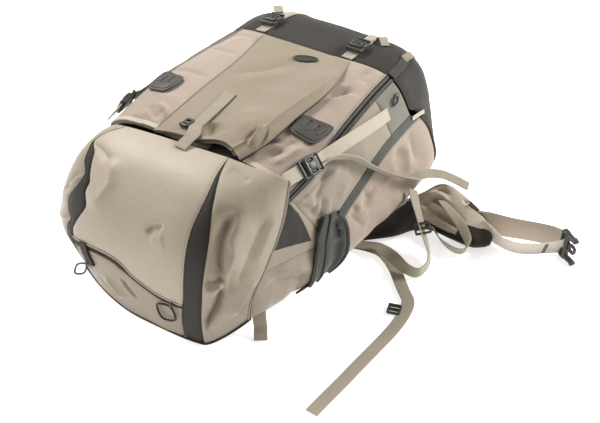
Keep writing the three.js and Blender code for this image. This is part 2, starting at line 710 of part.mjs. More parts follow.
// A ladder lock: a short plate with two slots
function ladderLock(webbing) {
  const outline = roundedOutline(webbing + LOCK.margin, LOCK.length, LOCK.corner);
  for (const place of [-LOCK.spread, LOCK.spread]) {
    outline.holes.push(roundedOutline(webbing + 1, LOCK.slot, 1, 0, place));
  }
  return plate(outline, LOCK.thick);
}

// A closed loop of round cord through the given points
function cordLoop(points, radius, steps = 12, sides = 5) {
  const curve = new THREE.CatmullRomCurve3(points, true);
  const rings = [];
  const frames = curve.computeFrenetFrames(steps, true);
  for (let i = 0; i < steps; i += 1) {
    const centre = curve.getPointAt(i / steps);
    const ring = [];
    for (let j = 0; j < sides; j += 1) {
      const angle = (2 * Math.PI * j) / sides;
      const out = frames.normals[i].clone().multiplyScalar(Math.cos(angle) * radius);
      ring.push(centre.clone().add(out).addScaledVector(frames.binormals[i], Math.sin(angle) * radius));
    }
    rings.push(ring);
  }
  return loftGeometry(rings, true);
}

// A zipper pull: a slider block with a loop of cord, drawn flat with the loop along +y
function zipPull(loopWidth, loopLength) {
  const [half, start, end] = [loopWidth / 2, 3, 3 + loopLength];
  const middle = (start + end) / 2;
  const sides = [half, -half].map((x) => vector(x, middle, 2.2));
  const points = [vector(0, start, 3), sides[0], vector(0, end, 2), sides[1]];
  return joined(cordLoop(points, PULL_CORD), boxAt(7, 11, 4, 0, 0, 2.4));
}

// A padded solid through flat sections, each with its two edges and a thickness
function padGeometry(sections, sides = 12, squareness = 3) {
  const rings = sections.map(({ near, far, thick }, i) => {
    const before = sections[Math.max(i - 1, 0)];
    const after = sections[Math.min(i + 1, sections.length - 1)];
    const middle = (s) => s.near.clone().add(s.far).multiplyScalar(0.5);
    const tangent = middle(after).sub(middle(before)).normalize();
    const width = far.clone().sub(near);
    const normal = tangent.clone().cross(width).normalize();
    const centre = middle(sections[i]);
    return Array.from({ length: sides }, (_, j) => {
      const angle = (2 * Math.PI * j) / sides;
      const u = signedPower(Math.cos(angle), 2 / squareness) / 2;
      const w = (signedPower(Math.sin(angle), 2 / squareness) * thick) / 2;
      return centre.clone().addScaledVector(width, u).addScaledVector(normal, w);
    });
  });
  return loftGeometry(rings);
}

const pack = new THREE.Group();
function add(name, geometry, material) {
  const mesh = new THREE.Mesh(geometry, material);
  mesh.name = name;
  pack.add(mesh);
}

const frontZip = (length) => along(FRONT_ZIP, "length", "girth", length);
const zipInner = (length) => frontZip(length) - FRONT_ZIP_HALF;
const zipOuter = (length) => frontZip(length) + FRONT_ZIP_HALF;
const clear = GAP / HALF_GIRTH;
const clearLength = GAP / SIDE_LENGTH;

// A place beside the side zipper's line, offset across it in millimetres
function besideZip(part, offset) {
  const read = (column, p) => along(SIDE_ZIP, "part", column, p);
  const at = (p) => ({ girth: read("girth", p), length: read("length", p) });
  const [place, before, after] = [at(part), at(Math.max(part - 0.02, 0)), at(Math.min(part + 0.02, 1))];
  const run = (after.length - before.length) * SIDE_LENGTH;
  const rise = (after.girth - before.girth) * HALF_GIRTH;
  const size = Math.hypot(run, rise);
  const girth = place.girth + (offset * run) / size / HALF_GIRTH;
  const length = place.length - (offset * rise) / size / SIDE_LENGTH;
  return { girth: Math.min(girth, BACK_EDGE - clear), length: Math.min(length, 1) };
}

// Draws a patch in from its edges by half a gap
function inset(surface) {
  const across = GAP / 2 / surface(0, 0.5).distanceTo(surface(1, 0.5));
  const lengthwise = GAP / 2 / surface(0.5, 0).distanceTo(surface(0.5, 1));
  return (s, t) => surface(lerp(across, 1 - across, s), lerp(lengthwise, 1 - lengthwise, t));
}

// A panel of the body ruled between two lines of places, on the right (side 1) or the left (side -1)
function ruledPanel(side, first, second) {
  return inset((s, t) => {
    const [a, b] = [first(s), second(s)];
    return packPoint(side * lerp(a.girth, b.girth, t), lerp(a.length, b.length, t));
  });
}

function addBodyShell() {
  const front = (s, t) => {
    const length = lerp(FRONT_HEM, 1 - clearLength, t);
    const reach = zipInner(length) - clear;
    return packPoint(lerp(-reach, reach, s), length);
  };
  add("front_panel", sheetGeometry(front, { columns: 14, rows: 8, thick: LINED }), CLOTHS.rose);
  const collar = (s, t) => {
    const girth = lerp(-COLLAR.reach, COLLAR.reach, s);
    return packPoint(girth, lerp(COLLAR.near, FRONT_HEM - COLLAR.gap, t));
  };
  const collarGrid = { columns: 10, rows: 3, thick: CLOTH, lift: -COLLAR.drop };
  add("collar", sheetGeometry(collar, collarGrid), CLOTHS.grey);

  const boot = (s, t) => bootPoint(lerp(-1, 1, s), t);
  const bootGrid = { columns: 36, rows: 7, thick: PADDED, ring: true, pole: true };
  add("bottom_boot", sheetGeometry(boot, bootGrid), CLOTHS.charcoal);

  const back = (s, t) => {
    const girth = lerp(BACK_EDGE + clear, 2 - BACK_EDGE - clear, s);
    return packPoint(girth > 1 ? girth - 2 : girth, lerp(0, 1 - clearLength, t));
  };
  const wall = sheetGeometry(back, { columns: 12, rows: 6, thick: PADDED });
  const padLength = BACK_PAD.far - BACK_PAD.near;
  const padOutline = roundedOutline(2 * BACK_PAD.halfWidth, padLength, BACK_PAD.corner);
  const pad = plate(padOutline, BACK_PAD.thick).translate(0, (BACK_PAD.far + BACK_PAD.near) / 2, 0);
  add("back_panel", joined(wall, pad), CLOTHS.charcoal);
}

function addBodySide(side, name) {
  const onFrontZip = (from, to) => (s) => ({ girth: zipOuter(lerp(from, to, s)), length: lerp(from, to, s) });
  const onSideZip = (from, to, offset) => (s) => besideZip(lerp(from, to, s), offset);
  const straight = (from, to) => (s) => ({
    girth: lerp(from.girth, to.girth, s),
    length: lerp(from.length, to.length, s),
  });
  const mouth = straight(
    { girth: zipOuter(SIDE_MOUTH.length), length: SIDE_MOUTH.length },
    besideZip(SIDE_MOUTH.part, -SIDE_ZIP_HALF),
  );
  const nearEnd = (from, to) => straight({ girth: from, length: 0 }, { girth: to, length: 0 });

  const zip = ruledPanel(side, (s) => ({ girth: zipInner(s), length: s }), onFrontZip(0, 1));
  const zipGrid = { columns: 12, rows: 1, thick: STRIP, lift: STRIP_SINK };
  add(`front_zip_${name}`, sheetGeometry(zip, zipGrid), CLOTHS.charcoal);
  const yokeZip = onSideZip(YOKE.part, SIDE_END, -SIDE_ZIP_HALF);
  const yoke = ruledPanel(side, onFrontZip(YOKE.length, SIDE_END), yokeZip);
  add(`strap_yoke_${name}`, sheetGeometry(yoke, { columns: 3, rows: 4, thick: LINED }), CLOTHS.grey);
  const zipSide = onFrontZip(SIDE_MOUTH.length, YOKE.length);
  const pocket = ruledPanel(side, zipSide, onSideZip(SIDE_MOUTH.part, YOKE.part, -SIDE_ZIP_HALF));
  add(`side_pocket_${name}`, sheetGeometry(pocket, { columns: 8, rows: 6, thick: LINED }), CLOTHS.webbing);
  const mesh = ruledPanel(side, nearEnd(zipOuter(0), SIDE_MOUTH.hem), mouth);
  add(`side_mesh_${name}`, sheetGeometry(mesh, { columns: 5, rows: 4, thick: STRIP }), CLOTHS.charcoal);
  const baseZip = onSideZip(SIDE_MOUTH.part, 0, -SIDE_ZIP_HALF);
  const base = ruledPanel(side, nearEnd(SIDE_MOUTH.hem, BACK_EDGE), baseZip);
  add(`side_base_${name}`, sheetGeometry(base, { columns: 6, rows: 4, thick: STRIP }), CLOTHS.webbing);
  const stripEdge = (offset) => onSideZip(SIDE_PANEL.stripStart, SIDE_END, offset);
  const trim = ruledPanel(side, stripEdge(-SIDE_ZIP_STRIP), stripEdge(SIDE_ZIP_STRIP));
  const trimGrid = { columns: 16, rows: 1, thick: STRIP, lift: STRIP_SINK };
  add(`side_zip_${name}`, sheetGeometry(trim, trimGrid), CLOTHS.charcoal);
  const backStart = { girth: BACK_EDGE, length: SIDE_PANEL.backStart };
  const backEdge = straight(backStart, { girth: BACK_EDGE, length: SIDE_END });
  const lower = ruledPanel(side, onSideZip(SIDE_PANEL.zipStart, SIDE_END, SIDE_ZIP_HALF), backEdge);
  add(`side_panel_${name}`, sheetGeometry(lower, { columns: 10, rows: 6, thick: PADDED }), CLOTHS.rose);
}

const gusset = { right: GUSSET_RIGHT, left: GUSSET_LEFT };
const gussetEdge = (name, column, t) => along(gusset[name], "t", column, t);
const zipPlace = (a) => along(LID_ZIP, "a", "t", a);
const lidClear = GAP / LID.half;
const lidClearLength = GAP / LID.length;

// A field of the lid's middle, between the gussets and between two lines that depend on the place across
function lidField(start, end) {
  return (s, u) => {
    let t = lerp(start(0), end(0), u);
    let a = 0;
    for (let pass = 0; pass < 4; pass += 1) {
      a = lerp(gussetEdge("left", "inner", t) + lidClear, gussetEdge("right", "inner", t) - lidClear, s);
      t = lerp(start(a), end(a), u);
    }
    return lidPoint(a, t);
  };
}

function addLid() {
  const zipTop = (a) => zipPlace(a) - LID_ZIP_HALF;
  const zipBottom = (a) => zipPlace(a) + LID_ZIP_HALF;
  const panel = lidField(() => 0, (a) => zipTop(a) - lidClearLength);
  add("lid_panel", sheetGeometry(panel, { columns: 13, rows: 10, thick: CLOTH }), CLOTHS.lid);
  const zip = lidField(zipTop, zipBottom);
  add("lid_zip", sheetGeometry(zip, { columns: 13, rows: 1, thick: CLOTH, lift: 0.4 }), CLOTHS.charcoal);
  const hem = lidField((a) => zipBottom(a) + lidClearLength, () => LID.underfold);
  add("lid_lower", sheetGeometry(hem, { columns: 13, rows: 5, thick: CLOTH }), CLOTHS.lid);

  for (const [side, name] of [[1, "right"], [-1, "left"]]) {
    const inner = (t) => gussetEdge(name, "inner", t);
    const outer = (t) => gussetEdge(name, "outer", t);
    const strip = (s, u) => {
      const t = lerp(GUSSET_TIP, 1, u);
      return lidPoint(lerp(inner(t) + side * lidClear, outer(t) - side * lidClear, s), t);
    };
    const stripGrid = { columns: 2, rows: 12, thick: CLOTH, lift: -0.8 };
    add(`lid_gusset_${name}`, sheetGeometry(strip, stripGrid), CLOTHS.charcoal);
    const wall = (s, t) => lidPoint(lerp(outer(t) + side * lidClear, side * 2, s), t);
    add(`lid_side_${name}`, sheetGeometry(wall, { columns: 8, rows: 10, thick: CLOTH }), CLOTHS.lid);
  }

  for (const { name, a, turn, width, loop } of LID_PULLS) {
    const frame = surfaceFrame(lidPoint, a, zipPlace(a));
    add(name, settle(zipPull(width, loop), frame, 1.4, turn), CLOTHS.plastic);
  }
}

// A surface pushed outwards by a rise that depends on the place
function raised(surface, rise) {
  return (s, t) => {
    const [u, v] = [THREE.MathUtils.clamp(s, 0, 1), THREE.MathUtils.clamp(t, 0, 1)];
    const place = surface(u, v);
    const normal = surfaceNormal(surface, u, v);
    if (normal.dot(place.clone().sub(CORE)) < 0) normal.negate();
    return place.addScaledVector(normal, rise(u, v));
  };
}

// The pocket sheet stands off the front along its right side and at its mouth
function addPocket() {
  const base = (s, t) => {
    const v = lerp(POCKET_LENGTH.far, POCKET_LENGTH.near, t);
    const girth = lerp(along(POCKET, "t", "left", t), along(POCKET, "t", "right", t), s);
    return bodyPoint(girth, v);
  };
  const surface = raised(base, (s, t) => {
    const side = POCKET_RISE.side * smoothstep(t, 0, 0.35) * smoothstep(s, 0.45, 0.95);
    const mouth = POCKET_RISE.mouth * smoothstep(t, 0.55, 1) * Math.sin(Math.PI * Math.min(s * 1.1, 1));
    return POCKET_RISE.sewn + side + mouth;
  });
  add("front_pocket", sheetGeometry(surface, { columns: 10, rows: 11, thick: CLOTH }), CLOTHS.olive);
  add("pocket_trim", freeBand(POCKET_TRIM, WEB.trim, WEB.thick), CLOTHS.grey);

  const badge = new THREE.Shape();
  badge.absellipse(0, 0, BADGE.halfWidth, BADGE.halfLength, 0, 2 * Math.PI);
  const badgeFrame = surfaceFrame(surface, BADGE.s, BADGE.t);
  add("badge", settle(plate(badge, BADGE.thick, 10), badgeFrame, GAP, 90), CLOTHS.rubber);

  const laid = layPoints(FRONT_STRAP.far, FRONT_STRAP.near, 6, 1, surface);
  const end = FRONT_STRAP_END.map((row) => vector(row.x, row.y, row.z));
  const up = end.map(() => vector(0, 0, 1));
  const strap = bandGeometry([...laid.points, ...end], [...laid.normals, ...up], WEB.narrow, WEB.thick);
  add("front_strap", strap, CLOTHS.pale);
  const lockFrame = surfaceFrame(surface, FRONT_LOCK.s, FRONT_LOCK.t);
  add("front_lock", settle(ladderLock(FRONT_LOCK.webbing), lockFrame, 1), CLOTHS.plastic);
}

// Moulded lash patches with two slots, one on each side of the pocket
function addLashPatches() {
  const { width, length: long, corner, slot, slotLength, spread, thick } = LASH_PATCH;
  for (const { side, name, girth, length } of PATCHES) {
    const outline = roundedOutline(width, long, corner);
    outline.holes.push(roundedOutline(slot, slotLength, 2, -spread, 0));
    outline.holes.push(roundedOutline(slot, slotLength, 2, spread, 0));
    const frame = surfaceFrame(packPoint, side * girth, length);
    add(`lash_patch_${name}`, settle(plate(outline, thick), frame, 3.5), CLOTHS.rubber);
  }
}

function addLidStraps() {
  const { sewn, end, buckle, tabFar, tabNear } = LID_STRAP;
  for (const [side, name] of [[1, "right"], [-1, "left"]]) {
    const on = ({ girth, length }) => ({ girth: side * girth, length });
    add(`lid_strap_${name}`, layBand(on(sewn), on(end), 10, WEB.narrow, 4), CLOTHS.pale);
    const frame = surfaceFrame(packPoint, side * buckle.girth, buckle.length);
    const fastened = settle(fastenedBuckle(WEB.narrow), frame, 5.5, side * buckle.turn);
    add(`lid_buckle_${name}`, fastened, CLOTHS.plastic);
    add(`lid_strap_end_${name}`, layBand(on(tabFar), on(tabNear), 3, WEB.narrow, 8), CLOTHS.pale);
  }
  add("lid_strap_tail", freeBand(refined(TAIL), WEB.narrow, WEB.thick), CLOTHS.webbing);
}

// Each lash strap runs from the pocket's far edge under its buckle and down the bottom boot
function addLashStraps() {
  for (const name of ["right", "left"]) {
    const girth = LASH[name];
    const [near, far] = [{ girth, length: LASH.near }, { girth, length: LASH.far }];
    add(`lash_strap_${name}`, layBand(near, far, 12, WEB.lash, 1.4, bodyPoint), CLOTHS.webbing);
    const frame = surfaceFrame((g, v) => bodyPoint(g, v * DOME.arc), girth, LASH.buckle / DOME.arc);
    add(`lash_buckle_${name}`, settle(fastenedBuckle(WEB.lash), frame, 5), CLOTHS.plastic);
  }
}

// Cord pulls on the front and side zippers of the right side
function addSidePulls() {
  for (const { name, girth, length, part, turn, width, loop } of PULLS) {
    const place = part === undefined ? { girth, length } : besideZip(part, 2);
    const frame = surfaceFrame(packPoint, place.girth, place.length);
    add(name, settle(zipPull(width, loop), frame, GAP, turn), CLOTHS.plastic);
  }
}

function addHarness() {
  for (const [side, name, shift] of [[1, "right", 0], [-1, "left", WING_LEFT_SHIFT]]) {
    const sections = WING.map((row) => ({
      near: vector(side * row.nearX + shift, row.nearY, row.nearZ),
      far: vector(side * row.farX + shift, row.farY, row.farZ),
      thick: row.thick,
    }));
    add(`hip_wing_${name}`, padGeometry(sections), CLOTHS.webbing);

    const pad = SHOULDER.map(({ x, y, width }) => {
      const z = SHOULDER_PAD.low + SHOULDER_PAD.thick / 2;
      const edge = (reach) => vector(side * x + reach, y, z);
      return { near: edge(-width / 2), far: edge(width / 2), thick: SHOULDER_PAD.thick };
    });
    add(`shoulder_strap_${name}`, padGeometry(pad, 12, 4), CLOTHS.charcoal);
  }
  add("hip_web", freeBand(BELT_WEB, WEB.belt, WEB.thick), CLOTHS.webbing);
  const clip = openBuckle(WEB.belt).rotateY(Math.PI / 2);
  add("hip_buckle", placed(clip, HIP_BUCKLE), CLOTHS.plastic);
  add("belt_loop", freeBand(BELT_LOOP, WEB.narrow, WEB.thick), CLOTHS.webbing);
  const lockFrame = routeFrame(BELT_LOOP, BELT_LOCK_ROW);
  add("belt_lock", settle(ladderLock(WEB.narrow), lockFrame, -LOCK.thick - BELT_LOCK_DROP), CLOTHS.plastic);
  add("wing_loop", freeBand(refined(WING_LOOP), WEB.loop, WEB.thick), CLOTHS.webbing);
  add("shoulder_web", freeBand(SHOULDER_WEB, WEB.narrow, WEB.thick), CLOTHS.webbing);
  add("shoulder_clip", placed(ladderLock(SHOULDER_CLIP.webbing), SHOULDER_CLIP), CLOTHS.plastic);
  add("floor_tab", freeBand(FLOOR_TAB, WEB.narrow, WEB.thick), CLOTHS.webbing);
}

addBodyShell();
addBodySide(1, "right");
addBodySide(-1, "left");
addLid();
addPocket();
addLashPatches();
addLidStraps();
addLashStraps();
addSidePulls();
addHarness();

export default pack;
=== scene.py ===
import math

import bmesh
import bpy
import numpy as np
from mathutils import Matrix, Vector


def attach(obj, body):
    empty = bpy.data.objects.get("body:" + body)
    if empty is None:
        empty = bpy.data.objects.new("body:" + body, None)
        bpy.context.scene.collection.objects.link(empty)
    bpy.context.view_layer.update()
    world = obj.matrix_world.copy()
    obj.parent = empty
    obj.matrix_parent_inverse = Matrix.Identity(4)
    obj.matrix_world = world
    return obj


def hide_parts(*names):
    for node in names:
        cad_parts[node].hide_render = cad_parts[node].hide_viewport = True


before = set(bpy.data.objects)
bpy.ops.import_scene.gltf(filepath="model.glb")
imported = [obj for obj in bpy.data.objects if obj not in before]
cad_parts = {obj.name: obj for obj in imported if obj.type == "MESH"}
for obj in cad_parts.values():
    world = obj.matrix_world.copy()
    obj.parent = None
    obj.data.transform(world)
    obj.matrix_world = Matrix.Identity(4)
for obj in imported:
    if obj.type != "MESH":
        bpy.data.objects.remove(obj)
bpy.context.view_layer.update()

MM = 0.001
BODY_NAME = "root"
CORE = np.array([0.0, 30.0, 120.0])


def table(columns, *rows):
    """Columns by name, as arrays."""
    return {name: np.array([row[i] for row in rows], float) for i, name in enumerate(columns.split())}


# Camera
VIEW = {
    "azimuth": 33.3, "elevation": 37.5, "distance": 1650, "lens": 66, "sensor": 36,
    "target": (137, -41, 120),
}

# Thicknesses, and widths of webbing
GAP = 0.6
CLOTH = 2.4
LINED = 5
STRIP = 4
PADDED = 7
STRIP_SINK = -0.6
WEB = {"thick": 1.8, "trim": 9, "loop": 16, "narrow": 20, "lash": 19, "belt": 40}

# Sections of the body, from the lid end to the bottom end
BODY = table(
    "y half back front flare",
    (-240, 136, 14, 200, 10),
    (-150, 158, 12, 228, 18),
    (-40, 168, 12, 247, 34),
    (90, 170, 12, 252, 46),
    (215, 168, 12, 248, 48),
)
SECTION = {"upper": 4.6, "lower": 6, "left_flare": 0.3, "left_width": 1.05, "samples": 160}
DOME = {"start": 215, "depth": 118, "arc": 210, "power": 3.8, "centre": 118}
NEAR_END = -200
COLLAR = {"reach": 0.29, "near": 0.005, "gap": 0.012, "drop": 9}
HALF_GIRTH = 520
SIDE_LENGTH = 415

# Seam lines on the body: girth is 0 at the middle of the front and 1 at the middle of the back,
# length is 0 at the lid end and 1 at the seam of the bottom boot
BOOT_SEAM = table(
    "girth y",
    (-1, 225), (-0.62, 225), (-0.42, 213), (-0.25, 199), (0, 190), (0.12, 196),
    (0.25, 207), (0.37, 213), (0.5, 250), (0.65, 276), (1, 235),
)
FRONT_ZIP = table("length girth", (0, 0.349), (0.3, 0.331), (0.58, 0.292), (0.84, 0.269), (1, 0.261))
SIDE_ZIP = table(
    "part length girth",
    (0, 0.225, 0.772),
    (0.09, 0.262, 0.71),
    (0.2, 0.316, 0.627),
    (0.3, 0.35, 0.554),
    (0.39, 0.412, 0.505),
    (0.57, 0.575, 0.457),
    (0.76, 0.76, 0.42),
    (1, 1, 0.404),
)
FRONT_ZIP_HALF = 0.013
SIDE_ZIP_HALF = 7
SIDE_ZIP_STRIP = 9
SIDE_END = {1: 0.99, -1: 0.997}
BOOT_EDGE = {"radius": 2.4, "past": 2.0}
BACK_EDGE = 0.78
FRONT_HEM = 0.215
YOKE = {"length": 0.83, "part": 0.83}
SIDE_PANEL = {"strip_start": 0.02, "zip_start": 0.09, "back_start": 0.3}
SIDE_MOUTH = {"length": 0.235, "part": 0.3, "hem": 0.5}

# The lid: a front edge, a rounded end and side seams
LID = {
    "half": 110, "front_edge": -138, "skew": 0.09, "top": 249, "crown": 16, "end": -270, "corner": 30,
    "reference": 165, "middle": 95, "low": 3, "left_lift": 52, "tuck": 10, "power": 2.5, "split": 0.7,
    "length": 330, "underfold": 1.25, "hinge_y": -204, "hinge_z": 17,
}
LID_SEAM = {
    1: table(
        "t x y z",
        (0, 167, -110, 226),
        (0.25, 169, -131, 172),
        (0.5, 166, -167, 117),
        (0.75, 162, -198, 76),
        (1, 160, -204, 41),
    ),
    -1: table(
        "t x y z",
        (0, -138, -146, 206),
        (0.25, -164, -150, 166),
        (0.5, -192, -160, 124),
        (0.75, -196, -184, 90),
        (1, -180, -200, 62),
    ),
}
GUSSET = {
    "right": table(
        "t inner outer",
        (0, 0.7, 0.7),
        (0.045, 0.735, 0.755),
        (0.23, 0.85, 0.957),
        (0.43, 0.845, 1.087),
        (0.66, 0.83, 1.098),
        (0.87, 0.74, 1.06),
        (1, 0.72, 1.03),
    ),
    "left": table(
        "t inner outer",
        (0, -0.88, -0.88),
        (0.03, -0.96, -0.97),
        (0.08, -1.08, -1.1),
        (0.13, -1.13, -1.17),
        (0.16, -1.07, -1.16),
        (0.2, -0.97, -1.1),
        (0.28, -0.9, -1.03),
        (0.335, -0.855, -0.94),
        (0.37, -0.82, -0.96),
        (0.43, -0.845, -1.03),
        (0.5, -0.8, -1.13),
        (0.57, -0.92, -1.12),
        (0.605, -0.99, -1.08),
        (0.65, -1.06, -1.19),
        (0.72, -1.06, -1.26),
        (1, -0.92, -1.15),
    ),
}
GUSSET_TIP = 0.05
LID_CORNER = {"bulge": 1.1, "pinch": 0.55, "pinch_from": 0.6, "lean": 20, "turn": 70, "turned_by": 0.35}
LID_ZIP = table("a t", (-1, 0.69), (-0.54, 0.68), (-0.2, 0.691), (0.12, 0.736), (0.44, 0.768), (0.9, 0.772))
LID_ZIP_HALF = 0.009
LID_DARTS = (
    {"a": -1.5, "width": 0.14, "depth": 6, "start": 0.15, "end": 0.75},
)

# The front pocket: an outer sheet over the front, open towards the lid
POCKET = table(
    "t left right",
    (0, -0.151, 0.145),
    (0.3, -0.12, 0.185),
    (0.6, -0.115, 0.188),
    (0.85, -0.12, 0.188),
    (1, -0.128, 0.17),
)
POCKET_LENGTH = {"far": 186, "near": -122}
POCKET_RISE = {
    "sewn": 3.4, "side": 14, "side_along": (0, 0.35), "side_across": (0.45, 0.95),
    "mouth": 14, "mouth_along": (0.55, 1), "mouth_across": 1.1,
}
POCKET_MOUTH = {"pull": 13, "start": 0.46, "end": 1.1, "power": 5}

# Hip belt wing: each row is a section, with the pad's middle at its near and far edges
WING = table(
    "near_x near_y near_z far_x far_y far_z thick",
    (182, 76, 5.5, 182, 196, 5.5, 7),
    (218, 108, 9, 221, 210, 34, 15),
    (240, 138, 11, 238, 221, 50, 19),
    (264, 152, 12, 258, 225, 54, 20),
    (300, 150, 12, 290, 219, 48, 20),
    (336, 149, 12, 328, 205, 39, 19),
    (354, 158, 13, 350, 188, 29, 16),
    (362, 165, 15, 362, 176, 24, 9),
)
WING_SHIFT = {"right": 0, "left": 28}
SHOULDER = table(
    "x y width",
    (62, -196, 44),
    (72, -160, 62),
    (96, -90, 70),
    (112, 0, 66),
    (112, 80, 56),
    (104, 128, 40),
)
SHOULDER_PAD = {"low": 0.4, "thick": 10.2}
BACK_PAD = {"half": 26, "near": -150, "far": 190, "corner": 20, "thick": 16}

# Hardware
BUCKLE = {
    "margin": 9, "aspect": 2, "thick": 9, "corner": 5, "slot": 5, "inset": 6, "window": 0.55,
    "housing": 0.52, "panel_width": 0.5, "panel_length": 0.27,
}
OPEN_BUCKLE = {"margin": 12, "bar": 16, "prong": 6, "prong_length": 24, "reach": 16, "ring": 16, "hole": 8}
LOCK = {"margin": 7, "length": 20, "slot": 4, "spread": 4.5, "thick": 4, "corner": 3}
BADGE = {"half_width": 10, "half_length": 21, "thick": 2, "field": 0.84, "points": 48, "place": (0.6, 0.135)}
LASH_PATCH = {"slot": 4.4, "slot_length": 17, "spread": 7, "thick": 2.4, "step": 0.84, "points": 56}
PATCH_LOBES = ((-14, -4, 16), (14, 1, 20))
PATCH_OUTLINE = ((-19, -29), (2, -31), (20, -26), (26, 0), (22, 24), (-2, 18), (-24, 8))
PULL_CORD = {"radius": 1.7, "start": 3, "heights": (3, 2.2, 2, 2.2)}
PULLS = {
    "front_pull_right": {"girth": 0.31, "length": 0.95, "turn": 200, "width": 8, "loop": 20},
    "side_pull_right": {"part": 0.36, "turn": -70, "width": 10, "loop": 24},
    "side_pull_low_right": {"girth": 0.652, "length": 0.24, "turn": -165, "width": 9, "loop": 22},
}
LID_PULLS = {
    "lid_pull_right": {"a": 0.64, "turn": -30, "width": 34, "loop": 36},
    "lid_pull_left": {"a": -0.8, "t": 0.8, "turn": -42, "width": 16, "loop": 60},
}
LID_ZIP_END = {"far": (-0.84, 0.67), "near": (-0.72, 0.79), "width": 15, "clearance": 1.5, "thick": 3}
LID_STRAP = {
    "sewn": (0.332, 0.845), "end": (0.305, 0.383), "buckle": (0.302, 0.352), "turn": -8,
    "tab_far": (0.299, 0.32), "tab_near": (0.292, 0.235), "left_shift": 0.03,
}
CLEARANCE = {
    "strap": (4,) * 9 + (4.5, 10), "buckle": 5.5, "tab": 8, "front": 2, "lash": 1.4, "lash_buckle": 5,
    "patch": 3.5, "lid_pull": 1.4, "side_pull": 2.2, "badge": 2,
}
PATCHES = {"right": (0.232, 0.497), "left": (-0.232, 0.475)}
FRONT_STRAP = {"far": (0.3, 0.617), "near": (0.4, 0.93)}
FRONT_STRAP_END = ((10, -124, 259), (9, -138, 255.5), (8, -154, 251.5))
# A near-black strip under the front strap's right edge: painted shadow of the lifted edge
FRONT_STRAP_SHADOW = {"offset": 1.6, "drop": 0.9, "rows": 9, "thick": 1.2}
FRONT_LOCK = {"place": (0.3, 0.93), "webbing": 8}
LASH = {"right": 0.125, "left": -0.176, "near": 194, "far": 330, "buckle": 218}
# Short loops above the lash straps and on the boot: place, turn and width
LASH_LOOPS = {"right": ((0.165, 1.2), 50, 16), "left": ((-0.225, 1.24), 50, 16)}
BOOT_LOOP = ((0.253, 0.18), -20, 14)
LOOP_LINE = np.array([(0, -9, 1), (0, -4, 6), (0, 3, 10), (0, 9, 8), (0, 12, 2)], float)
# Ends of zippers on the boot: from, to, clearance, steps, width and look
BOOT_ENDS = {
    "side_zip_tab": ((0.398, -0.045), (0.41, 0.02), 2.5, 6, 7, "pale_webbing"),
    "boot_zip_end": ((0.26, 0.0), (0.25, 0.17), 0.8, 16, 15, "zipper_tape"),
}
HIP_BUCKLE = {"x": 468, "y": 224, "z": 27, "turn": -123}
HIP_KEEPER = {"part": 0.62, "half": 15, "rise": 1.4, "width": 5, "points": 9}
SHOULDER_CLIP = {"x": 304, "y": -38, "z": 1, "turn": 17}
CLIP_WEBBING = 14

# Free webbing: points of each route with the roll of the band about its own line
SHOULDER_WEB = table(
    "x y z roll",
    (150, 56, 3, 0), (176, 62, 3, 0), (200, 66, 4, 0), (222, 66, 5, 4), (244, 54, 6, 6), (264, 38, 5, 4),
    (282, 20, 4, 2), (298, 4, 4, 0), (311, -8, 3, 0), (318, -24, 2.6, 0), (322, -48, 2, 0),
    (323, -80, 1.6, 0), (321, -120, 1.5, 0), (318, -165, 1.5, 0), (316, -205, 1.5, 0), (313, -245, 1.5, 0),
    (311, -278, 1.5, 0),
)
BELT_LOOP = table(
    "x y z roll",
    (178, 61, 7.5, 0), (194, 64, 9, 0), (214, 66, 14, 0), (238, 57, 18, 20), (262, 46, 19, 50),
    (282, 40, 16.5, 80), (298, 46, 12.5, 95), (302, 66, 13, 90), (296, 86, 15, 76), (284, 102, 20, 62),
    (272, 114, 27, 52), (264, 121, 34, 48), (255, 130, 41, 45), (246, 139, 47, 42), (236, 149, 53, 38),
    (227, 159, 59, 36), (219, 168, 65, 34),
)
BELT_LOCK = {"row": 11, "rise": 2, "turn": -8}
WING_LOOP = table(
    "x y z roll",
    (262, 188, 48, -20), (286, 176, 44, 0), (308, 164, 39, 20), (324, 152, 33, 45), (334, 144, 24, 60),
    (335, 134, 15, 65), (326, 128, 12, 70), (311, 129, 12, 70), (295, 135, 12, 65),
    (281, 143, 14, 60), (270, 152, 18, 55),
)
TAIL = table(
    "x y z roll",
    (176, -34, 224, -50), (183, -8, 219, -42), (190, 24, 200, -29), (196, 58, 169, -22), (202, 92, 140, -23),
    (209, 124, 115, -25), (214, 150, 97, -22), (218, 174, 85, -4), (222, 196, 80, 12), (229, 214, 74, 14),
    (242, 229, 68, 10), (260, 239, 59, 6), (282, 246, 49, 4),
)
BELT_WEB = table(
    "x y z roll",
    (324, 194, 28, 80), (339, 203, 26, 82), (352, 209, 24, 84), (372, 216, 22, 87), (394, 224, 21, 90),
    (418, 231, 21, 90), (438, 235, 21, 90), (452, 234, 21, 88), (462, 228, 21, 80), (461, 219, 21, 72),
    (448, 208, 20, 66), (424, 188, 19, 63), (404, 178, 19, 62), (384, 176, 20, 64), (367, 180, 22, 70),
    (352, 185, 24, 76), (338, 188, 25, 80),
)
FLOOR_TAB = table(
    "x y z roll",
    (148, -168, 40, 0), (155, -177, 29, 0), (160, -183, 21, 0), (164, -187, 13, 0), (168, -193, 6, 0),
    (174, -201, 1.8, 0),
)
SIDES = ((1, "right"), (-1, "left"))


# Numbers and arrays
def lerp(a, b, u):
    return a + (b - a) * u


def smoothstep(x, low, high):
    u = np.clip((x - low) / (high - low), 0, 1)
    return u * u * (3 - 2 * u)


def signed_power(value, power):
    return np.sign(value) * np.abs(value) ** power


def unit(v):
    return v / np.maximum(np.linalg.norm(v, axis=-1, keepdims=True), 1e-9)


def point(x, y, z):
    return np.stack(np.broadcast_arrays(x, y, z), axis=-1).astype(float)


def points_of(rows, names="x y z"):
    """Points from three columns of a table."""
    return np.stack([rows[name] for name in names.split()], axis=1)


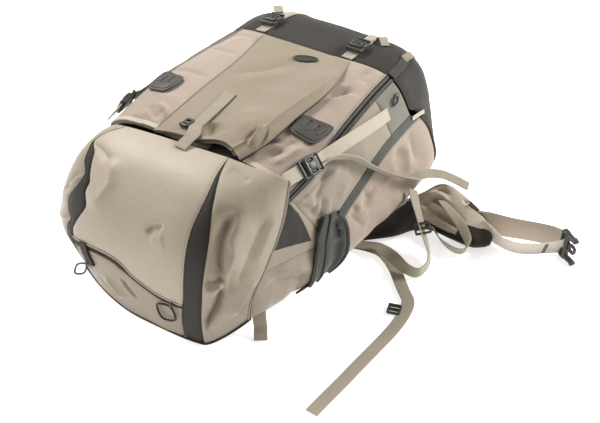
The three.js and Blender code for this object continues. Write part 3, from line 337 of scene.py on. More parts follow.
def run_along(line):
    """Distance along a line of points."""
    return np.concatenate([[0], np.linalg.norm(np.diff(line, axis=0), axis=1).cumsum()])


def along(rows, key, column, at):
    """Smooth value of a column at places along a table's key column."""
    keys, values = rows[key], rows[column]
    at = np.asarray(at, float)
    before = np.maximum(np.arange(len(keys)) - 1, 0)
    after = np.minimum(np.arange(len(keys)) + 1, len(keys) - 1)
    slope = (values[after] - values[before]) / (keys[after] - keys[before])
    i = np.clip(np.searchsorted(keys, at, side="left") - 1, 0, len(keys) - 2)
    span = keys[i + 1] - keys[i]
    u = np.clip((at - keys[i]) / span, 0, 1)
    bend = u * (1 - u) ** 2 * slope[i] + u * u * (u - 1) * slope[i + 1]
    return lerp(values[i], values[i + 1], u * u * (3 - 2 * u)) + span * bend


# The body's form
def body_rows(girth, v):
    y = np.minimum(v, DOME["start"])
    half, back, front, flare = (along(BODY, "y", c, y)[:, None] for c in ("half", "back", "front", "flare"))
    side = np.where(girth < 0, -1, 1)[:, None]
    flare = np.where(side > 0, flare, flare * SECTION["left_flare"])
    half = np.where(side > 0, half, half * SECTION["left_width"])
    angle = np.linspace(0, np.pi, SECTION["samples"] + 1)
    power = 2 / np.where(angle < np.pi / 2, SECTION["upper"], SECTION["lower"])
    z = (back + front) / 2 + (front - back) / 2 * signed_power(np.cos(angle), power)
    x = side * (half + flare * (front - z) / (front - back)) * signed_power(np.sin(angle), power)
    run = np.concatenate([np.zeros((len(y), 1)), np.hypot(np.diff(x), np.diff(z)).cumsum(axis=1)], axis=1)
    at = np.minimum(np.abs(girth), 1) * run[:, -1]
    i = np.clip((run < at[:, None]).sum(axis=1), 1, SECTION["samples"])
    row = np.arange(len(y))
    u = (at - run[row, i - 1]) / (run[row, i] - run[row, i - 1])
    x = lerp(x[row, i - 1], x[row, i], u)
    z = lerp(z[row, i - 1], z[row, i], u)
    turn = np.clip((v - DOME["start"]) / DOME["arc"], 0, 1) * np.pi / 2
    shrink = np.maximum(np.cos(turn), 0) ** (2 / DOME["power"])
    reach = DOME["depth"] * np.sin(turn) ** (2 / DOME["power"])
    return point(x * shrink, y + reach, DOME["centre"] + (z - DOME["centre"]) * shrink)


def body_point(girth, v):
    """A point of the body by girth and by distance along it, with the bottom end closed by a dome."""
    girth, v = np.broadcast_arrays(np.asarray(girth, float), np.asarray(v, float))
    flat_girth, flat_v = girth.ravel(), v.ravel()
    block = 6000
    parts = [
        body_rows(flat_girth[i:i + block], flat_v[i:i + block]) for i in range(0, len(flat_girth), block)
    ]
    return np.concatenate(parts).reshape(girth.shape + (3,))


def boot_seam(girth):
    return along(BOOT_SEAM, "girth", "y", girth)


def pack_point(girth, length):
    return body_point(girth, lerp(NEAR_END, boot_seam(girth), length))


def boot_point(girth, part):
    return body_point(girth, lerp(boot_seam(girth) + GAP, DOME["start"] + DOME["arc"], part))


# The lid's form
def lid_middle(x, t):
    """The lid's middle: from the front edge over the top, down the end and under to the back."""
    x, t = np.broadcast_arrays(np.asarray(x, float), np.asarray(t, float))
    corner = np.abs(x / LID["reference"]) ** 4
    edge = LID["front_edge"] + LID["skew"] * x
    top = LID["top"] - LID["crown"] * corner
    end = LID["end"] + LID["corner"] * corner
    turn = np.clip(t / LID["split"], 0, 1) * np.pi / 2
    power = 2 / LID["power"]
    y = edge + (end - edge) * np.sin(turn) ** power
    z = LID["middle"] + (top - LID["middle"]) * np.maximum(np.cos(turn), 0) ** power
    u = np.clip((t - LID["split"]) / (1 - LID["split"]), 0, 1)
    low = LID["low"] + LID["left_lift"] * np.maximum(-x / LID["half"], 0) ** 2
    under = (t - 1) / (LID["underfold"] - 1)
    falling, folded = t >= LID["split"], t > 1
    y = np.where(falling, end + LID["tuck"] * u * u, y)
    z = np.where(falling, lerp(LID["middle"], low, u), z)
    y = np.where(folded, lerp(end + LID["tuck"], LID["hinge_y"], under), y)
    z = np.where(folded, lerp(low, LID["hinge_z"], under), z)
    return point(x, y, z)


def lid_smooth(a, t):
    """The whole lid before its folds: beyond the middle it turns round the corner to its side seam."""
    a, t = np.broadcast_arrays(np.asarray(a, float), np.asarray(t, float))
    middle = lid_middle(np.clip(a, -1, 1) * LID["half"], t)
    for side in (1, -1):
        u = np.clip(side * a - 1, 0, 1)[..., None]
        start = lid_middle(side * LID["half"], t)
        leave = start - lid_middle(side * (LID["half"] - 1), t)
        end = point(*(along(LID_SEAM[side], "t", c, t) for c in "xyz"))
        span = np.linalg.norm(end - start, axis=-1, keepdims=True)
        bulge = LID_CORNER["bulge"] - LID_CORNER["pinch"] * smoothstep(t, LID_CORNER["pinch_from"], 1)
        span = span * bulge[..., None]
        turn = LID_CORNER["lean"] + LID_CORNER["turn"] * np.minimum(t / LID_CORNER["turned_by"], 1)
        turn = np.radians(turn)
        arrive = point(0, np.sin(turn), -np.cos(turn))
        wall = lerp(start, end, u * u * (3 - 2 * u))
        wall = wall + leave * span * u * (1 - u) ** 2 + arrive * span * u * u * (u - 1)
        middle = np.where(side * a[..., None] > 1, wall, middle)
    return middle


def lid_point(a, t):
    """The lid with its main folds, which push the cloth inwards along short lines."""
    a, t = np.broadcast_arrays(np.asarray(a, float), np.asarray(t, float))
    place = lid_smooth(a, t)
    depth = np.zeros(a.shape)
    for dart in LID_DARTS:
        nearness = np.exp(-(((a - dart["a"]) / dart["width"]) ** 2))
        reach = np.clip((t - dart["start"]) / (dart["end"] - dart["start"]), 0, 1)
        depth = depth + dart["depth"] * nearness * np.sin(np.pi * reach) ** 2
    return place - outward(lid_smooth, a, np.clip(t, 0.01, 0.99), 0.012) * depth[..., None]


def outward(carrier, u, v, step):
    """Normals of a surface, pointing away from the pack's core."""
    across = carrier(u + step, v) - carrier(u - step, v)
    lengthwise = carrier(u, v + step) - carrier(u, v - step)
    normal = unit(np.cross(across, lengthwise))
    facing = np.sign((normal * (carrier(u, v) - CORE)).sum(axis=-1, keepdims=True))
    return normal * np.where(facing == 0, 1, facing)


def pocket_point(s, t):
    """The pocket's sheet stands off the front along its right side and at its mouth."""
    s, t = (np.clip(np.asarray(x, float), 0, 1) for x in (s, t))

    def base(u, v):
        girth = lerp(along(POCKET, "t", "left", v), along(POCKET, "t", "right", v), u)
        open_part = (u - POCKET_MOUTH["start"]) / (POCKET_MOUTH["end"] - POCKET_MOUTH["start"])
        arch = np.sin(np.pi * np.clip(open_part, 0, 1)) ** 2
        pulled = POCKET_MOUTH["pull"] * arch * np.maximum(v, 0) ** POCKET_MOUTH["power"]
        return body_point(girth, lerp(POCKET_LENGTH["far"], POCKET_LENGTH["near"], v) + pulled)

    side = smoothstep(t, *POCKET_RISE["side_along"]) * smoothstep(s, *POCKET_RISE["side_across"])
    arch = np.sin(np.pi * np.minimum(s * POCKET_RISE["mouth_across"], 1))
    mouth = smoothstep(t, *POCKET_RISE["mouth_along"]) * arch
    rise = POCKET_RISE["sewn"] + POCKET_RISE["side"] * side + POCKET_RISE["mouth"] * mouth
    return base(s, t) + outward(base, s, t, 0.004) * rise[..., None]


# Lines and places
ZIP_STEP = 0.02
CURVE_STEPS = 24


def front_zip(length):
    return along(FRONT_ZIP, "length", "girth", length)


def beside_zip(part, offset):
    """Girth and length of a place beside the side zipper's line, offset across it in millimetres."""
    part = np.asarray(part, float)
    girth, length = (along(SIDE_ZIP, "part", c, part) for c in ("girth", "length"))
    ahead, behind = np.minimum(part + ZIP_STEP, 1), np.maximum(part - ZIP_STEP, 0)
    run, rise = (
        (along(SIDE_ZIP, "part", c, ahead) - along(SIDE_ZIP, "part", c, behind)) * scale
        for c, scale in (("length", SIDE_LENGTH), ("girth", HALF_GIRTH))
    )
    size = np.hypot(run, rise)
    girth = girth + offset * run / size / HALF_GIRTH
    length = length - offset * rise / size / SIDE_LENGTH
    return np.minimum(girth, BACK_EDGE - GAP / HALF_GIRTH), np.minimum(length, 1)


def smooth_line(points, step):
    """Even places on a smooth curve through the points, as row numbers with fractions."""
    points = np.asarray(points, float)
    fine = np.linspace(0, len(points) - 1, CURVE_STEPS * len(points))
    run = run_along(curve_at(points, fine))
    count = max(int(round(run[-1] / step)), 2)
    return np.interp(np.linspace(0, run[-1], count + 1), run, fine)


def curve_at(points, rows):
    """Values of a Catmull-Rom curve through the points at row numbers with fractions."""
    points = np.asarray(points, float)
    last = len(points) - 1
    i = np.clip(np.floor(rows).astype(int), 0, last - 1)
    u = (rows - i)[:, None]
    a, b = points[i], points[i + 1]
    before = np.where((i > 0)[:, None], points[np.maximum(i - 1, 0)], 2 * a - b)
    after = np.where((i + 2 <= last)[:, None], points[np.minimum(i + 2, last)], 2 * b - a)
    bend = u * (1 - u) ** 2 * (b - before) / 2 + u * u * (u - 1) * (after - a) / 2
    return lerp(a, b, u * u * (3 - 2 * u)) + bend


def rolled(lengthwise, roll):
    """The upward facing of a line's direction, turned about it by a roll in degrees."""
    level = unit(np.cross(lengthwise, [0, 0, 1]))
    up = unit(np.cross(level, lengthwise))
    return up * np.cos(np.radians(roll)) + np.cross(lengthwise, up) * np.sin(np.radians(roll))


def route_frames(route, step=4.0):
    """Places and facings along a free band, whose face turns about its own line by each point's roll."""
    places = points_of(route)
    rows = smooth_line(places, step)
    line = curve_at(places, rows)
    return line, rolled(unit(np.gradient(line, axis=0)), curve_at(route["roll"][:, None], rows))


def row_spot(route, row, roll):
    """Place, facing and direction of a free band at one row of its route."""
    places = points_of(route)
    lengthwise = unit(places[min(row + 1, len(places) - 1)] - places[max(row - 1, 0)])
    return {"place": places[row], "normal": rolled(lengthwise, roll), "lengthwise": lengthwise}


def surface_frame(carrier, u, v, step=0.01):
    """Place, outward normal and lengthwise direction at one place of a surface."""
    normal = outward(carrier, np.array([u]), np.array([v]), step)[0]
    lengthwise = unit(carrier(u, v + step) - carrier(u, v - step))
    return {"place": carrier(u, v), "normal": normal, "lengthwise": lengthwise}


def settle(points, spot, clearance, turn=0):
    """Turns points drawn flat (y along, z outwards) to a place on a surface."""
    angle = math.radians(turn)
    side = np.cross(spot["lengthwise"], spot["normal"])
    y = spot["lengthwise"] * math.cos(angle) - side * math.sin(angle)
    x = unit(np.cross(y, spot["normal"]))
    origin = spot["place"] + spot["normal"] * clearance
    return origin + points @ np.stack([x, y, spot["normal"]])


def add_object(name, data):
    made = bpy.data.objects.new(name, data)
    bpy.context.scene.collection.objects.link(made)
    return made


class Shape:
    """Gathers closed bodies into one mesh, with a place in the weave for each point."""

    def __init__(self):
        self.points, self.faces, self.weave, self.looks = [], [], [], []
        self.count = 0

    def add(self, points, faces, weave=None, look=0):
        points = np.asarray(points, float).reshape(-1, 3)
        self.points.append(points)
        self.weave.append(points[:, :2] if weave is None else np.asarray(weave, float).reshape(-1, 2))
        self.faces += [[self.count + k for k in face] for face in faces]
        self.looks.append(np.broadcast_to(look, len(faces)))
        self.count += len(points)
        return self

    def piece(self, name, slot, nodes=(), others=(), sharp=35):
        """The finished piece: it rides on the pack and stands for its nodes."""
        mesh = bpy.data.meshes.new(name)
        mesh.from_pydata((np.concatenate(self.points) * MM).tolist(), [], self.faces)
        weave = mesh.uv_layers.new(name="weave")
        corner = np.empty(len(mesh.loops), int)
        mesh.loops.foreach_get("vertex_index", corner)
        weave.uv.foreach_set("vector", (np.concatenate(self.weave)[corner] * MM).astype(np.float32).ravel())
        mesh.polygons.foreach_set("material_index", np.concatenate(self.looks).astype(np.int32))
        mesh.polygons.foreach_set("use_smooth", np.ones(len(mesh.polygons), bool))
        work = bmesh.new()
        work.from_mesh(mesh)
        bmesh.ops.remove_doubles(work, verts=work.verts, dist=1e-6)
        bmesh.ops.recalc_face_normals(work, faces=work.faces)
        work.to_mesh(mesh)
        work.free()
        mesh.set_sharp_from_angle(angle=math.radians(sharp))
        for look in (slot, *others):
            mesh.materials.append(MATERIALS[look])
        made = add_object(name, mesh)
        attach(made, BODY_NAME)
        if nodes:
            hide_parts(*nodes)
        return made


def grid_faces(columns, rows, start=0):
    """Quads of a grid of points with the given numbers of spans."""
    i, j = np.meshgrid(np.arange(columns), np.arange(rows), indexing="ij")
    a = (start + i * (rows + 1) + j).ravel()
    return np.stack([a, a + rows + 1, a + rows + 2, a + 1], axis=1)


def ring_faces(count, sides, closed=False):
    """Quads between rings of points, with the ends filled unless the rings close on themselves."""
    faces = []
    for i in range(count if closed else count - 1):
        after = (i + 1) % count
        for j in range(sides):
            k = (j + 1) % sides
            faces.append([i * sides + j, i * sides + k, after * sides + k, after * sides + j])
    if not closed:
        faces.append(list(range(sides)))
        faces.append([(count - 1) * sides + j for j in reversed(range(sides))])
    return faces


def looped(points):
    """Points of a closed line, with some of them repeated past both ends."""
    return np.concatenate([points[-2:], points, points[:3]])


TUBE_REFERENCE = np.array([0.31, 0.52, 0.79])


def tube(points, radius, sides=8, closed=False, step=2.5):
    """A round cord through the points: its points and faces."""
    points = np.asarray(points, float)
    if closed:
        points = looped(points)
    rows = smooth_line(points, step)
    if closed:
        rows = rows[(rows >= 2) & (rows < len(points) - 3)]
    line = curve_at(points, rows)
    ahead = np.roll(line, -1, axis=0) - np.roll(line, 1, axis=0) if closed else np.gradient(line, axis=0)
    ahead = unit(ahead)
    first = unit(np.cross(ahead, TUBE_REFERENCE))
    second = np.cross(ahead, first)
    angle = np.linspace(0, 2 * np.pi, sides, endpoint=False)[None, :, None]
    ring = line[:, None] + radius * (np.cos(angle) * first[:, None] + np.sin(angle) * second[:, None])
    return ring.reshape(-1, 3), ring_faces(len(line), sides, closed)


BAND_SECTION = ((-1, 0), (-0.97, 0.8), (-0.9, 1), (-0.5, 0.94), (0, 0.92), (0.5, 0.94), (0.9, 1), (0.97, 0.8))


def ribbon(line, normals, width, thick=WEB["thick"]):
    """A woven band along a line: its points, faces and weave."""
    tangent = unit(np.gradient(line, axis=0))
    across = unit(np.cross(tangent, normals))
    face = np.cross(across, tangent)
    section = np.array(BAND_SECTION)
    section = np.concatenate([section, -section])
    ring = line[:, None] + across[:, None] * section[None, :, :1] * width / 2
    ring = ring + face[:, None] * section[None, :, 1:] * thick / 2
    weave = np.stack(np.broadcast_arrays(section[None, :, 0] * width / 2, run_along(line)[:, None]), axis=-1)
    return ring.reshape(-1, 3), ring_faces(len(line), len(section)), weave.reshape(-1, 2)


def band(name, slot, line, normals, width, nodes=(), thick=WEB["thick"]):
    """A woven band along a line, as a finished piece."""
    return Shape().add(*ribbon(line, normals, width, thick)).piece(name, slot, nodes)


def rounded(width, length, corner, x=0.0, y=0.0, arc=5):
    """A flat outline with rounded corners."""
    outline = []
    for quarter, (sx, sy) in enumerate(((1, 1), (-1, 1), (-1, -1), (1, -1))):
        for k in range(arc + 1):
            angle = math.pi / 2 * (quarter + k / arc)
            cx, cy = sx * (width / 2 - corner), sy * (length / 2 - corner)
            outline.append((x + cx + corner * math.cos(angle), y + cy + corner * math.sin(angle)))
    return outline


def moulding(outlines, low, high, edge=0.8):
    """A plate with softened edges between two heights: an outline and its holes."""
    curve = bpy.data.curves.new("moulding", "CURVE")
    curve.dimensions = "2D"
    curve.fill_mode = "BOTH"
    curve.extrude = (high - low) / 2 - edge
    curve.bevel_depth = edge
    curve.bevel_resolution = 2
    curve.offset = -edge
    for outline in outlines:
        spline = curve.splines.new("POLY")
        spline.points.add(len(outline) - 1)
        for spot, (x, y) in zip(spline.points, outline):
            spot.co = (x, y, 0, 1)
        spline.use_cyclic_u = True
    drawn = add_object("moulding", curve)
    solid = drawn.evaluated_get(bpy.context.evaluated_depsgraph_get()).to_mesh()
    points = np.array([v.co for v in solid.vertices]) + [0, 0, (low + high) / 2]
    faces = [list(p.vertices) for p in solid.polygons]
    bpy.data.objects.remove(drawn)
    bpy.data.curves.remove(curve)
    return points, faces


def plate(width, length, corner, low, high, edge, x=0.0, y=0.0, holes=()):
    """A rounded plate between two heights, with holes."""
    return moulding([rounded(width, length, corner, x, y), *holes], low, high, edge)


def gathered(*bodies):
    """Several bodies as one list of points and faces."""
    points, faces, count = [], [], 0
    for body_points, body_faces in bodies:
        points.append(body_points)
        faces += [[count + k for k in face] for face in body_faces]
        count += len(body_points)
    return np.concatenate(points), faces


# Materials
NODE_OUTPUT = {
    "UVMap": "UV", "TexCoord": "Object", "TexWave": "Fac", "TexNoise": "Fac", "Math": "Value",
    "MapRange": "Result", "Mix": "Result", "Bump": "Normal", "NewGeometry": "Pointiness",
}


def feed(tree, target, values):
    """Sets a node's inputs to values, or links them to outputs."""
    for key, value in values.items():
        if isinstance(value, bpy.types.NodeSocket):
            tree.links.new(value, target.inputs[key])
        else:
            target.inputs[key].default_value = value


def node(tree, kind, values=None, **settings):
    """A new node with its settings and inputs: its output."""
    made = tree.nodes.new("ShaderNode" + kind)
    for key, value in settings.items():
        setattr(made, key, value)
    feed(tree, made, values or {})
    return made.outputs[NODE_OUTPUT[kind]]


def new_material(name):
    made = bpy.data.materials.new(name)
    made.use_nodes = True
    return made, made.node_tree, made.node_tree.nodes["Principled BSDF"]


def linear(colour):
    """A colour written as 0 to 255 sRGB, as the shader's linear values."""
    parts = [c / 255 for c in colour]
    return [*(p / 12.92 if p <= 0.04045 else ((p + 0.055) / 1.055) ** 2.4 for p in parts), 1.0]


WAVE_PERIOD = 2 * math.pi / 20
NOISE = {
    "cloud": {"Scale": 9.0, "Detail": 5.0, "Roughness": 0.6},
    "fleck": {"Scale": 420.0, "Detail": 2.0},
    "soft": {"Scale": 55.0, "Detail": 4.0, "Roughness": 0.55},
    "wear": {"Scale": 60.0, "Detail": 4.0},
    "grain": {"Scale": 900.0, "Detail": 2.0},
}
RANGE = {
    "tone": {"From Min": 0.4, "From Max": 1.4},
    "thread": {"To Min": 0.86, "To Max": 1.06},
    "gloss": {"From Min": 0.3, "From Max": 0.7},
    "edge": {"From Min": 0.5, "From Max": 0.62, "To Min": 0.0, "To Max": 0.3},
}
BUMP = {
    "crumple": {"Strength": 0.35, "Distance": 0.0018},
    "thread": {"Distance": 0.0003},
    "grain": {"Strength": 0.2, "Distance": 0.0004},
}
CLOTH_GLOSS = {"spread": 0.07, "sheen_rough": 0.45, "specular": 0.3}
PLASTIC_GLOSS = {"less": 0.08, "more": 0.1}


def noise(tree, spot, *kinds):
    return [node(tree, "TexNoise", {"Vector": spot, **NOISE[kind]}) for kind in kinds]


def woven(name, colour, shade, warp, weft, rough, sheen, relief, slub=0.6, satin=0.0):
    """Woven cloth: threads at the given spacings in millimetres, with slow changes of colour and gloss."""
    made, tree, shader = new_material(name)
    place = node(tree, "UVMap", uv_map="weave")
    threads = []
    for spacing, direction in ((warp, "X"), (weft, "Y")):
        wave = {"Vector": place, "Scale": WAVE_PERIOD / (spacing * MM), "Distortion": slub, "Detail": 1.0}
        threads.append(node(tree, "TexWave", wave, wave_type="BANDS", bands_direction=direction))
    weave = node(tree, "Math", {0: threads[0], 1: threads[1]}, operation="MULTIPLY")
    cloud, fleck, soft = noise(tree, node(tree, "TexCoord"), "cloud", "fleck", "soft")
    mixed = node(tree, "Math", {0: cloud, 1: fleck}, operation="ADD")
    mixed = node(tree, "MapRange", {"Value": mixed, **RANGE["tone"]})
    tone = node(tree, "Mix", {"Factor": mixed, "A": linear(shade), "B": linear(colour)}, data_type="RGBA")
    dark = node(tree, "MapRange", {"Value": weave, **RANGE["thread"]})
    dyed = {"Factor": 1.0, "A": tone, "B": dark}
    spread = {"To Min": rough - CLOTH_GLOSS["spread"], "To Max": rough + CLOTH_GLOSS["spread"]}
    crumpled = node(tree, "Bump", {"Height": soft, **BUMP["crumple"]})
    fine = {"Height": weave, "Strength": relief, "Normal": crumpled, **BUMP["thread"]}
    feed(tree, shader, {
        "Base Color": node(tree, "Mix", dyed, data_type="RGBA", blend_type="MULTIPLY"),
        "Roughness": node(tree, "MapRange", {"Value": cloud, **RANGE["gloss"], **spread}),
        "Sheen Weight": sheen,
        "Sheen Roughness": CLOTH_GLOSS["sheen_rough"],
        "Specular IOR Level": CLOTH_GLOSS["specular"] + satin,
        "Normal": node(tree, "Bump", fine),
    })
    return made


def moulded(name, colour, shade, rough):
    """Moulded plastic or rubber with a fine grain and paler sharp edges."""
    made, tree, shader = new_material(name)
    cloud, pits = noise(tree, node(tree, "TexCoord"), "wear", "grain")
    edge = node(tree, "MapRange", {"Value": node(tree, "NewGeometry"), **RANGE["edge"]})
    tone = node(tree, "Math", {0: cloud, 1: edge}, operation="ADD")
    spread = {"To Min": rough - PLASTIC_GLOSS["less"], "To Max": rough + PLASTIC_GLOSS["more"]}
    dyed = {"Factor": tone, "A": linear(shade), "B": linear(colour)}
    feed(tree, shader, {
        "Base Color": node(tree, "Mix", dyed, data_type="RGBA"),
        "Roughness": node(tree, "MapRange", {"Value": cloud, **spread}),
        "Normal": node(tree, "Bump", {"Height": pits, **BUMP["grain"]}),
    })
    return made


# Cloths: colour, darker shade, spacing of the warp and the weft, roughness, sheen, relief, slub and satin
CLOTHS = {
    "lid_cloth": ((173, 160, 140), (159, 145, 125), 0.9, 0.8, 0.52, 0.25, 0.2, 0.5, 0.17),
    # The lid cloth again, darkened as painted shade for the lid's sides and lower face
    "lid_cloth_painted_shade": ((154, 141, 122), (140, 127, 108), 0.9, 0.8, 0.52, 0.25, 0.2, 0.5, 0.17),
    "rose_cloth": ((164, 147, 132), (150, 133, 118), 1.3, 1.3, 0.72, 0.3, 0.3),
    "olive_cloth": ((143, 130, 109), (131, 117, 96), 1.0, 1.0, 0.62, 0.25, 0.25),
    "tan_cloth": ((150, 138, 122), (136, 124, 108), 1.0, 0.9, 0.6, 0.25, 0.25),
    # Pale tan of the hip wings, lightened further as painted light because the wings lie in shade
    "wing_tan_painted_light": ((194, 180, 160), (178, 164, 145), 1.0, 0.9, 0.6, 0.25, 0.25),
    "charcoal_cloth": ((45, 40, 33), (33, 29, 24), 1.4, 1.4, 0.7, 0.12, 0.4),
    "zipper_tape": ((46, 45, 40), (32, 31, 27), 0.8, 2.4, 0.6, 0.2, 0.5),
    "zip_cover": ((60, 62, 53), (47, 49, 41), 0.8, 2.4, 0.6, 0.2, 0.5),
    "grey_cloth": ((124, 119, 107), (106, 101, 90), 1.2, 1.2, 0.68, 0.25, 0.35),
    "webbing": ((168, 159, 139), (150, 141, 121), 1.6, 2.4, 0.66, 0.25, 0.9, 0.3),
    # The webbing again, lightened as painted light for the hip belt, where little lamp light reaches
    "belt_webbing_painted_light": ((212, 200, 184), (196, 184, 168), 1.6, 2.4, 0.64, 0.25, 0.9, 0.3),
    "pale_webbing": ((190, 181, 162), (176, 166, 147), 1.6, 2.4, 0.62, 0.25, 0.9, 0.3),
    # Near-black: the pull cords and dark thread, and also painted shade in slots, gaps and openings
    "pull_cord": ((30, 28, 25), (18, 17, 15), 1.0, 1.0, 0.55, 0.2, 0.6),
}
# Plastics: colour, darker shade and roughness
PLASTICS = {
    "moulded_rubber": ((70, 68, 60), (46, 44, 38), 0.5),
    "zip_tube": ((44, 44, 40), (26, 25, 23), 0.34),
    "buckle_plastic": ((62, 61, 58), (36, 35, 33), 0.38),
}
MATERIALS = {name: woven(name, *look) for name, look in CLOTHS.items()}
MATERIALS.update({name: moulded(name, *look) for name, look in PLASTICS.items()})


# Camera, floor and light
FLOOR_HALF = 6.0
FLOOR_PAPER = {
    "Base Color": (0.93, 0.93, 0.925, 1), "Roughness": 0.9, "Specular IOR Level": 0.1,
    "Emission Color": (1, 1, 1, 1), "Emission Strength": 0.6,
}
SKY = {"Color": (1.0, 0.995, 0.985, 1), "Strength": 0.36}
# Lights: place and size in metres, and power
LIGHTS = {
    "right": ((1.75, 1.75, 1.3), 0.9, 78),
    "left": ((-1.4, 0.4, 2.1), 0.7, 62),
    "front": ((-1.5, -1.5, 1.6), 1.2, 22),
}
LIGHT_TARGET = (0.05, 0, 0.1)


def aim(item, place, target):
    """Puts an object at a place, facing a target."""
    item.location = place
    item.rotation_mode = "QUATERNION"
    item.rotation_quaternion = (Vector(target) - Vector(place)).to_track_quat("-Z", "Y")


def add_stage():
    a, e = (math.radians(VIEW[k]) for k in ("azimuth", "elevation"))
    back = Vector((math.sin(a) * math.cos(e), -math.cos(a) * math.cos(e), math.sin(e)))
    target = Vector(VIEW["target"])
    lens = bpy.data.cameras.new("camera")
    lens.lens = VIEW["lens"]
    lens.sensor_width = VIEW["sensor"]
    seen = add_object("camera", lens)
    aim(seen, (target + back * VIEW["distance"]) * MM, target * MM)
    bpy.context.scene.camera = seen

    floor = bpy.data.meshes.new("floor")
    corners = [(x * FLOOR_HALF, y * FLOOR_HALF, 0) for x, y in ((-1, -1), (1, -1), (1, 1), (-1, 1))]
    floor.from_pydata(corners, [], [(0, 1, 2, 3)])
    paper, tree, shader = new_material("floor")
    feed(tree, shader, FLOOR_PAPER)
    floor.materials.append(paper)
    add_object("floor", floor)

    sky = bpy.data.worlds.new("studio")
    sky.use_nodes = True
    feed(sky.node_tree, sky.node_tree.nodes["Background"], SKY)
    bpy.context.scene.world = sky
    for name, (place, size, power) in LIGHTS.items():
        light = bpy.data.lights.new(name, "AREA")
        light.size = size
        light.energy = power
        aim(add_object(name, light), place, LIGHT_TARGET)
    bpy.context.scene.view_settings.view_transform = "Standard"


# Buckles, locks and pulls, drawn flat with y along them and z outwards
def side_release(webbing):
    """A fastened side-release buckle: slotted ends, a housing with windows, prongs and a raised panel."""
    width, length = webbing + BUCKLE["margin"], webbing * BUCKLE["aspect"]
    thick, window = BUCKLE["thick"], BUCKLE["window"] * webbing
    panel = (BUCKLE["panel_width"] * webbing, BUCKLE["panel_length"] * length)
    bodies = [plate(*panel, corner=4, low=8, high=thick + 1, edge=0.7)]
    slots, windows = [], []
    for end in (-1, 1):
        x, y = (end * (size / 2 - BUCKLE["inset"]) for size in (width, length))
        tip = end * (length / 2 - 1.9)
        slots.append(rounded(webbing + 2, BUCKLE["slot"], 1.5, 0, y))
        windows.append(rounded(3, window, 1.2, x))
        bodies.append(plate(2.2, window - 2, corner=1, low=1.5, high=7.5, edge=0.5, x=x))
        bodies.append(plate(width - 2, 3.4, corner=1.6, low=3, high=7.5, edge=1.3, y=tip))
    base = plate(width, length, BUCKLE["corner"], low=0, high=5.5, edge=1.2, holes=slots)
    house = BUCKLE["housing"] * length
    housing = plate(width + 1, house, corner=7, low=1, high=thick, edge=2, holes=windows)
    return gathered(base, housing, *bodies)


def open_buckle(webbing):
    """One half of an open side-release buckle: a slotted bar with two prongs and a ring between them."""
    reach, prong, ring, hole = (OPEN_BUCKLE[k] for k in ("reach", "prong", "ring", "hole"))
    width, thick = webbing + OPEN_BUCKLE["margin"], BUCKLE["thick"]
    slot = rounded(webbing + 2, BUCKLE["slot"], 1.5, 0, -1)
    eye = rounded(hole, hole + 1, 3, 0, reach + 1)
    bodies = [
        plate(width, OPEN_BUCKLE["bar"], corner=4, low=0, high=thick, edge=1.6, holes=[slot]),
        plate(ring, ring + 2, corner=6, low=0, high=0.6 * thick, edge=1.2, y=reach, holes=[eye]),
    ]
    long = OPEN_BUCKLE["prong_length"]
    for side in (-1, 1):
        x = side * ((width - prong) / 2 - 2)
        bodies.append(plate(prong, long, corner=2.5, low=0, high=thick, edge=1.6, x=x, y=reach))
        bodies.append(plate(prong + 3, 8, corner=3, low=1, high=thick - 1, edge=1.4, x=x + side, y=reach + 7))
    return gathered(*bodies)


def ladder_lock(webbing):
    """A plate with two slots, a raised middle bar and a lip to lift it by."""
    width, length, thick = webbing + LOCK["margin"], LOCK["length"], LOCK["thick"]
    slots = [rounded(webbing + 1, LOCK["slot"], 1, 0, end * LOCK["spread"]) for end in (-1, 1)]
    base = plate(width, length, LOCK["corner"], low=0, high=thick, edge=0.9, holes=slots)
    lip = plate(width, 4.6, corner=2, low=2, high=thick + 1.6, edge=1.2, y=length / 2 - 2.3)
    bar = plate(width - 2, 3.4, corner=1.5, low=2, high=thick + 0.8, edge=1)
    return gathered(base, lip, bar)


def zip_slider():
    body = plate(7.5, 11, corner=3, low=0.4, high=3.2, edge=0.9)
    bridge = plate(3.2, 9, corner=1.5, low=2.6, high=5, edge=0.9)
    return gathered(body, bridge)


def pull_loop(width, loop):
    """A loop of cord through the slider's bridge."""
    x = np.array([0, width, 0, -width]) / 2
    y = PULL_CORD["start"] + np.array([0, 0.5, 1, 0.5]) * loop
    return tube(point(x, y, PULL_CORD["heights"]), PULL_CORD["radius"], 10, closed=True, step=1.2)


def placed(points, x, y, z, turn):
    """Turns points about the vertical and moves them to their place."""
    angle = math.radians(turn)
    cos, sin = math.cos(angle), math.sin(angle)
    return points @ np.array([[cos, sin, 0], [-sin, cos, 0], [0, 0, 1]]) + [x, y, z]


def hardware(name, points, faces, slot="buckle_plastic"):
    return Shape().add(points, faces).piece(name + "_moulding", slot, (name,), sharp=50)


def add_cord_hardware():
    """The buckle, lock and clip that the free webbing carries."""
    points, faces = open_buckle(WEB["belt"])
    upright = np.stack([points[:, 2], points[:, 1], -points[:, 0]], axis=1)
    buckle = hardware("hip_buckle", placed(upright, **HIP_BUCKLE), faces)
    points, faces = ladder_lock(WEB["narrow"])
    spot = row_spot(BELT_LOOP, BELT_LOCK["row"], BELT_LOCK["turn"])
    lock = hardware("belt_lock", settle(points, spot, BELT_LOCK["rise"]), faces)
    points, faces = ladder_lock(CLIP_WEBBING)
    clip = hardware("shoulder_clip", placed(points, **SHOULDER_CLIP), faces)
    return buckle, lock, clip


# Free webbing
def repeated(normal, line):
    """One facing for each point of a line."""
    return np.tile(normal, (len(line), 1))


def cord_band(name, route, width, slot="webbing"):
    """A free band of webbing: its line and facings."""
    line, normals = route_frames(route)
    made = band(name + "_band", slot, line, normals, width, (name,))
    float(run_along(line)[-1]) * MM
    return line, normals


